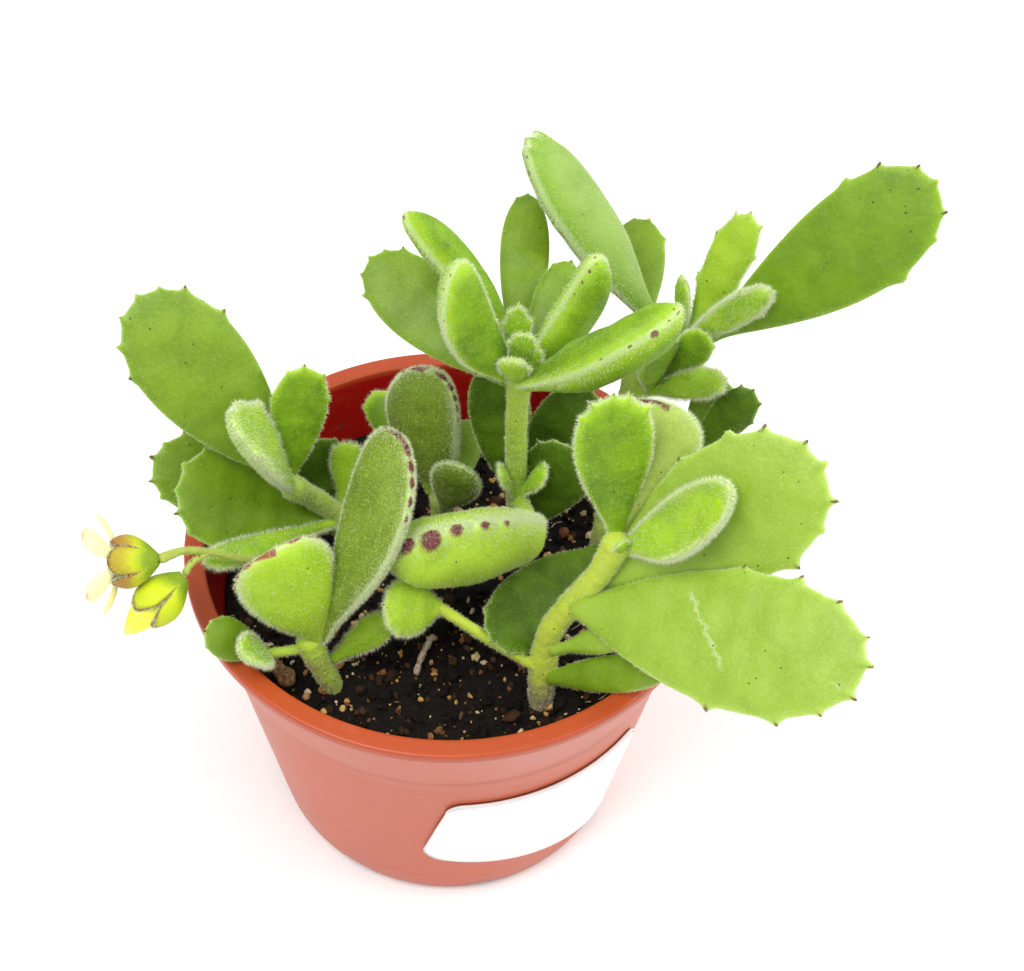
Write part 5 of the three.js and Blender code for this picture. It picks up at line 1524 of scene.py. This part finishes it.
@dataclass
class Whorl:
    """A ring of pointed scales, joined at the foot: the petals of a flower."""

    count: int
    length: float
    width: float
    thick: float
    spread: float
    start: float
    lift: float
    curl: float = 0.0
    turn: float = 0.0
    full: float = 1.3

    def skins(self) -> list[Skin]:
        """Each scale: a small leaf surface, tipped outwards by the spread and carried round."""
        form = LeafForm("scale", (0, 0, 0), (0, 0, 0), self.length, self.width, self.thick, self.width * 0.3,
                        1, 0.4, self.full, bow=self.curl, cup=0.25)
        made = []
        for i in range(self.count):
            step = np.eye(4)
            step[:3, 3] = (0, self.start, self.lift)
            spin = turned_by(2, 360 * (i + self.turn) / self.count)
            made.append(form.skin(28, 10).moved(spin @ step @ turned_by(0, 90 - self.spread)))
        return made


@dataclass
class Bell:
    """A calyx: broad rounded lobes that are joined below and overlap like tiles."""

    lobes: int
    length: float
    radius: float
    close: float
    cleft: float
    blush: float
    wall: float = 0.45

    def skin(self) -> Skin:
        """The bowl, outside and inside, along +Z.

        At the share s of its height the radius is that of the bowl times sin(pi (0.08 + close s reach)).
        The reach is 1 at the middle of a lobe and falls to the cleft beside it, with |sin|^0.55 of the
        phase. Each lobe stands out at one side and in at the other by 0.25 mm times s^2, and a groove
        follows the cleft. The inner face lies the wall's thickness further in.

        Returns:
            The closed surface with the layers along, rim and tone.
        """
        s = np.linspace(0, 1, 20)[:, None]
        turn = once_round(110)[None]
        phase = self.lobes * turn / (2 * np.pi)
        wave = np.abs(np.sin(np.pi * phase))
        reach = self.cleft + (1 - self.cleft) * wave**0.55
        out = self.radius * np.sin(np.pi * (0.08 + self.close * s * reach))
        out = out * (1 - 0.08 * (1 - wave) ** 3 * s) + 0.5 * (phase % 1 - 0.5) * s**2
        high = self.length * s * reach
        ends = np.zeros((1, turn.size))
        radius = np.concatenate([ends, out, (out - self.wall)[::-1], ends])
        height = np.concatenate([ends, high, np.maximum(high, self.wall)[::-1], ends + self.wall])
        rim = np.maximum(s**7, (1 - wave) ** 2 * s**0.5) + 0 * turn
        tone = self.blush * (0.5 + 0.5 * np.sin(2.1 * np.floor(phase) + 0.8)) + 0 * s
        layers = {"along": np.concatenate([ends, s + 0 * turn, (s + 0 * turn)[::-1], ends]),
                  "rim": np.concatenate([ends, rim, rim[::-1], ends]),
                  "tone": np.concatenate([tone[:1], tone, tone, tone[:1]])}
        return ringed(around(radius, turn, height), layers)


@dataclass
class Flower:
    """The flower stalk with its branch, the open flower and the bud that hangs beside it."""

    stalk: list[Point] = field(default_factory=lambda: [
        (-22, 2, 74), (-30, -9, 79), (-36, -18, 85), (-42, -21, 90), (-47, -24, 94), (-51, -28, 96)])
    branch: list[Point] = field(default_factory=lambda: [(-43, -21.5, 91), (-46, -25, 91.5), (-47, -27, 90.5)])
    flower_at: Point = (-51, -28, 96)
    flower_turn: tuple[float, float] = (-178, -8)
    bud_at: Point = (-47, -27, 90.5)
    bud_turn: tuple[float, float] = (-136, -22)
    bud_length: float = 14
    bud_width: float = 9
    calyx: Bell = field(default_factory=lambda: Bell(5, 8.2, 4.9, 0.6, 0.66, 1.0))
    bud_calyx: Bell = field(default_factory=lambda: Bell(4, 10.5, 4.6, 0.68, 0.5, 0.12))
    petals: Whorl = field(default_factory=lambda: Whorl(5, 9.4, 4.7, 0.7, 70, 0.6, 8.0, -0.10, 0.7))

    def bud_skin(self) -> Skin:
        """The closed petals: a pointed spindle with five folds that twist a little to its tip."""
        t = np.linspace(0, 1, 60)[:, None]
        turn = once_round(60)[None]
        out = self.bud_width * 0.37 * np.sin(np.pi * np.minimum(1, 0.12 + 0.88 * t)) ** 0.75
        out = np.where((t == 0) | (t == 1), 0, out)
        seam = np.abs(np.sin(2.5 * (turn + 1.2 * t)))
        fold = 1 - 0.1 * seam**0.6 * ease(t, 0.1, 0.5)
        layers = {"along": t + 0 * turn, "rim": 1 - seam}
        return ringed(around(out * fold, turn, 1.6 + (self.bud_length - 0.6) * t), layers)

    def build(self) -> list[Skin]:
        """Makes the stalk, the two calyxes, the petals and the bud.

        Returns:
            The surfaces that carry hair.
        """
        green = StemFinish("flower_stalk_skin", (0.30, 0.36, 0.05), (0.3, 0.36, 0.05), 0).material()
        sepal = SepalFinish().material()
        petal = PetalFinish("petal", (0.95, 0.90, 0.42), (0.93, 0.95, 0.62), (0.80, 0.16, 0.10), 0.97).material()
        yellow = PetalFinish("bud_petal", (0.86, 0.90, 0.06), (0.62, 0.80, 0.04), (0.9, 0.88, 0.2), 0.9,
                             0.3).material()
        main, side = smooth_line(self.stalk, 0.5), smooth_line(self.branch, 0.4)
        stalk = joined([
            tube(main, 0.72 + 0.3 * ease(np.arange(len(main)) / len(main), 0.86, 1.0), 14),
            tube(side, 0.62 + 0.2 * ease(np.arange(len(side)) / len(side), 0.7, 1.0), 14)])
        stalk.layers["scar"] = np.zeros(len(stalk.points))
        here, there = facing(self.flower_at, *self.flower_turn), facing(self.bud_at, *self.bud_turn)
        calyx = self.calyx.skin().moved(here)
        throat = tube(np.outer(np.linspace(3.6, 7.6, 12), (0, 0, 1)), np.full(12, 1.6), 24)
        petals = joined([throat, *self.petals.skins()]).moved(here)
        bud_calyx = self.bud_calyx.skin().moved(there)
        for name, skin, finish, slot in (
            ("flower_stalk", stalk, green, "stem"), ("flower_calyx", calyx, sepal, "calyx"),
            ("flower_petals", petals, petal, "petal"), ("bud_calyx", bud_calyx, sepal, "bud"),
            ("bud_petals", self.bud_skin().moved(there), yellow, "bud"),
        ):
            grown(f"{name}_grown", skin, [finish], slot, name)
        stalk.layers["rim"] = np.full(len(stalk.points), 0.5)
        hairy = [stalk, calyx, bud_calyx]
        for skin in hairy:
            skin.layers["wool"] = np.full(len(skin.points), 0.5)
        return hairy


# ---- studio ----


@dataclass
class Studio:
    """A pale floor, soft daylight from above and a camera that looks down on the pot."""

    place: Point = (0.0116, -0.2548, 0.3729)
    right: Point = (0.99897, 0.03376, 0.03029)
    down: Point = (0.04536, -0.74354, -0.66712)
    lens: float = 70.3125
    sky: float = 0.76
    floor_half: float = 3.0
    lamps: tuple[tuple, ...] = (("key", (-0.25, -0.30, 0.80), (0, 0, 0.07), 0.45, 5),
                                ("fill", (0.55, 0.05, 0.60), (0, 0, 0.07), 0.6, 4.2))

    @staticmethod
    def hung(name: str, data: bpy.types.ID, axes: list | None = None) -> bpy.types.Object:
        """Puts an object into the scene; axes are its right, up and back, and its place."""
        made = bpy.data.objects.new(name, data)
        bpy.context.scene.collection.objects.link(made)
        if axes:
            turn = np.eye(4)
            turn[:3] = np.stack(axes, 1)
            made.matrix_world = Matrix(turn.tolist())
        return made

    def floor(self) -> None:
        """Lays the floor, which is no part of the object."""
        mesh = bpy.data.meshes.new("floor")
        far = self.floor_half
        mesh.from_pydata([(-far, -far, 0), (far, -far, 0), (far, far, 0), (-far, far, 0)], [], [(0, 1, 2, 3)])
        piece = self.hung("floor", mesh)
        paint = Paint("floor_paper")
        paint.set(Roughness=0.7)
        pale = paint.blend(paint.noise(0.02, 2), (0.90, 0.90, 0.90), (0.94, 0.94, 0.94))
        mesh.materials.append(paint.finish(pale))

    def lamp(self, name: str, at: Point, aim: Point, size: float, power: float) -> None:
        """Hangs a square soft light.

        Args:
            name: its name.
            at: where it hangs, in metres.
            aim: what it faces.
            size: its side.
            power: its power in watts.
        """
        light = bpy.data.lights.new(name, "AREA")
        light.shape, light.size, light.energy = "SQUARE", size, power
        back = normed(np.subtract(at, aim))
        side = normed(np.cross([0, 0, 1], back))
        self.hung(name, light, [side, np.cross(back, side), back, at])

    def build(self) -> None:
        """Sets the floor, the sky, the lights and the camera."""
        self.floor()
        world = bpy.data.worlds.new("studio")
        world.use_nodes = True
        sky = world.node_tree.nodes["Background"].inputs
        sky["Color"].default_value = (1.0, 1.0, 1.0, 1.0)
        sky["Strength"].default_value = self.sky
        bpy.context.scene.world = world
        for lamp in self.lamps:
            self.lamp(*lamp)
        data = bpy.data.cameras.new("camera")
        data.sensor_width, data.sensor_fit, data.lens = 36.0, "AUTO", self.lens
        data.clip_start, data.clip_end = 0.01, 20.0
        right, down = np.array(self.right), np.array(self.down)
        camera = self.hung("camera", data, [right, -down, -np.cross(right, down), self.place])
        bpy.context.scene.camera = camera
        bpy.context.scene.view_settings.view_transform = "Standard"


HAIR_SEED, FLOWER_SEED = 100, 120


def main() -> None:
    """Builds the pot, the soil, every shoot with its hair, the flower and the studio."""
    logging.basicConfig(level=logging.INFO, format="%(name)s %(message)s")
    pot = Pot()
    pot.build()
    Label(pot).build()
    Soil(pot).build()
    finishes = {look: look.value.material() for look in LeafLook}
    hair = HairFinish().material()
    coat = HairCoat()
    for number, shoot in enumerate(SHOOTS):
        skins = shoot.build(finishes)
        coat.grow(f"hair_{shoot.name[5:]}", skins, HAIR_SEED + number, hair)
    coat.grow("hair_flower", Flower().build(), FLOWER_SEED, hair)
    Studio().build()
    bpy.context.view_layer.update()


if __name__ == "__main__":
    main()
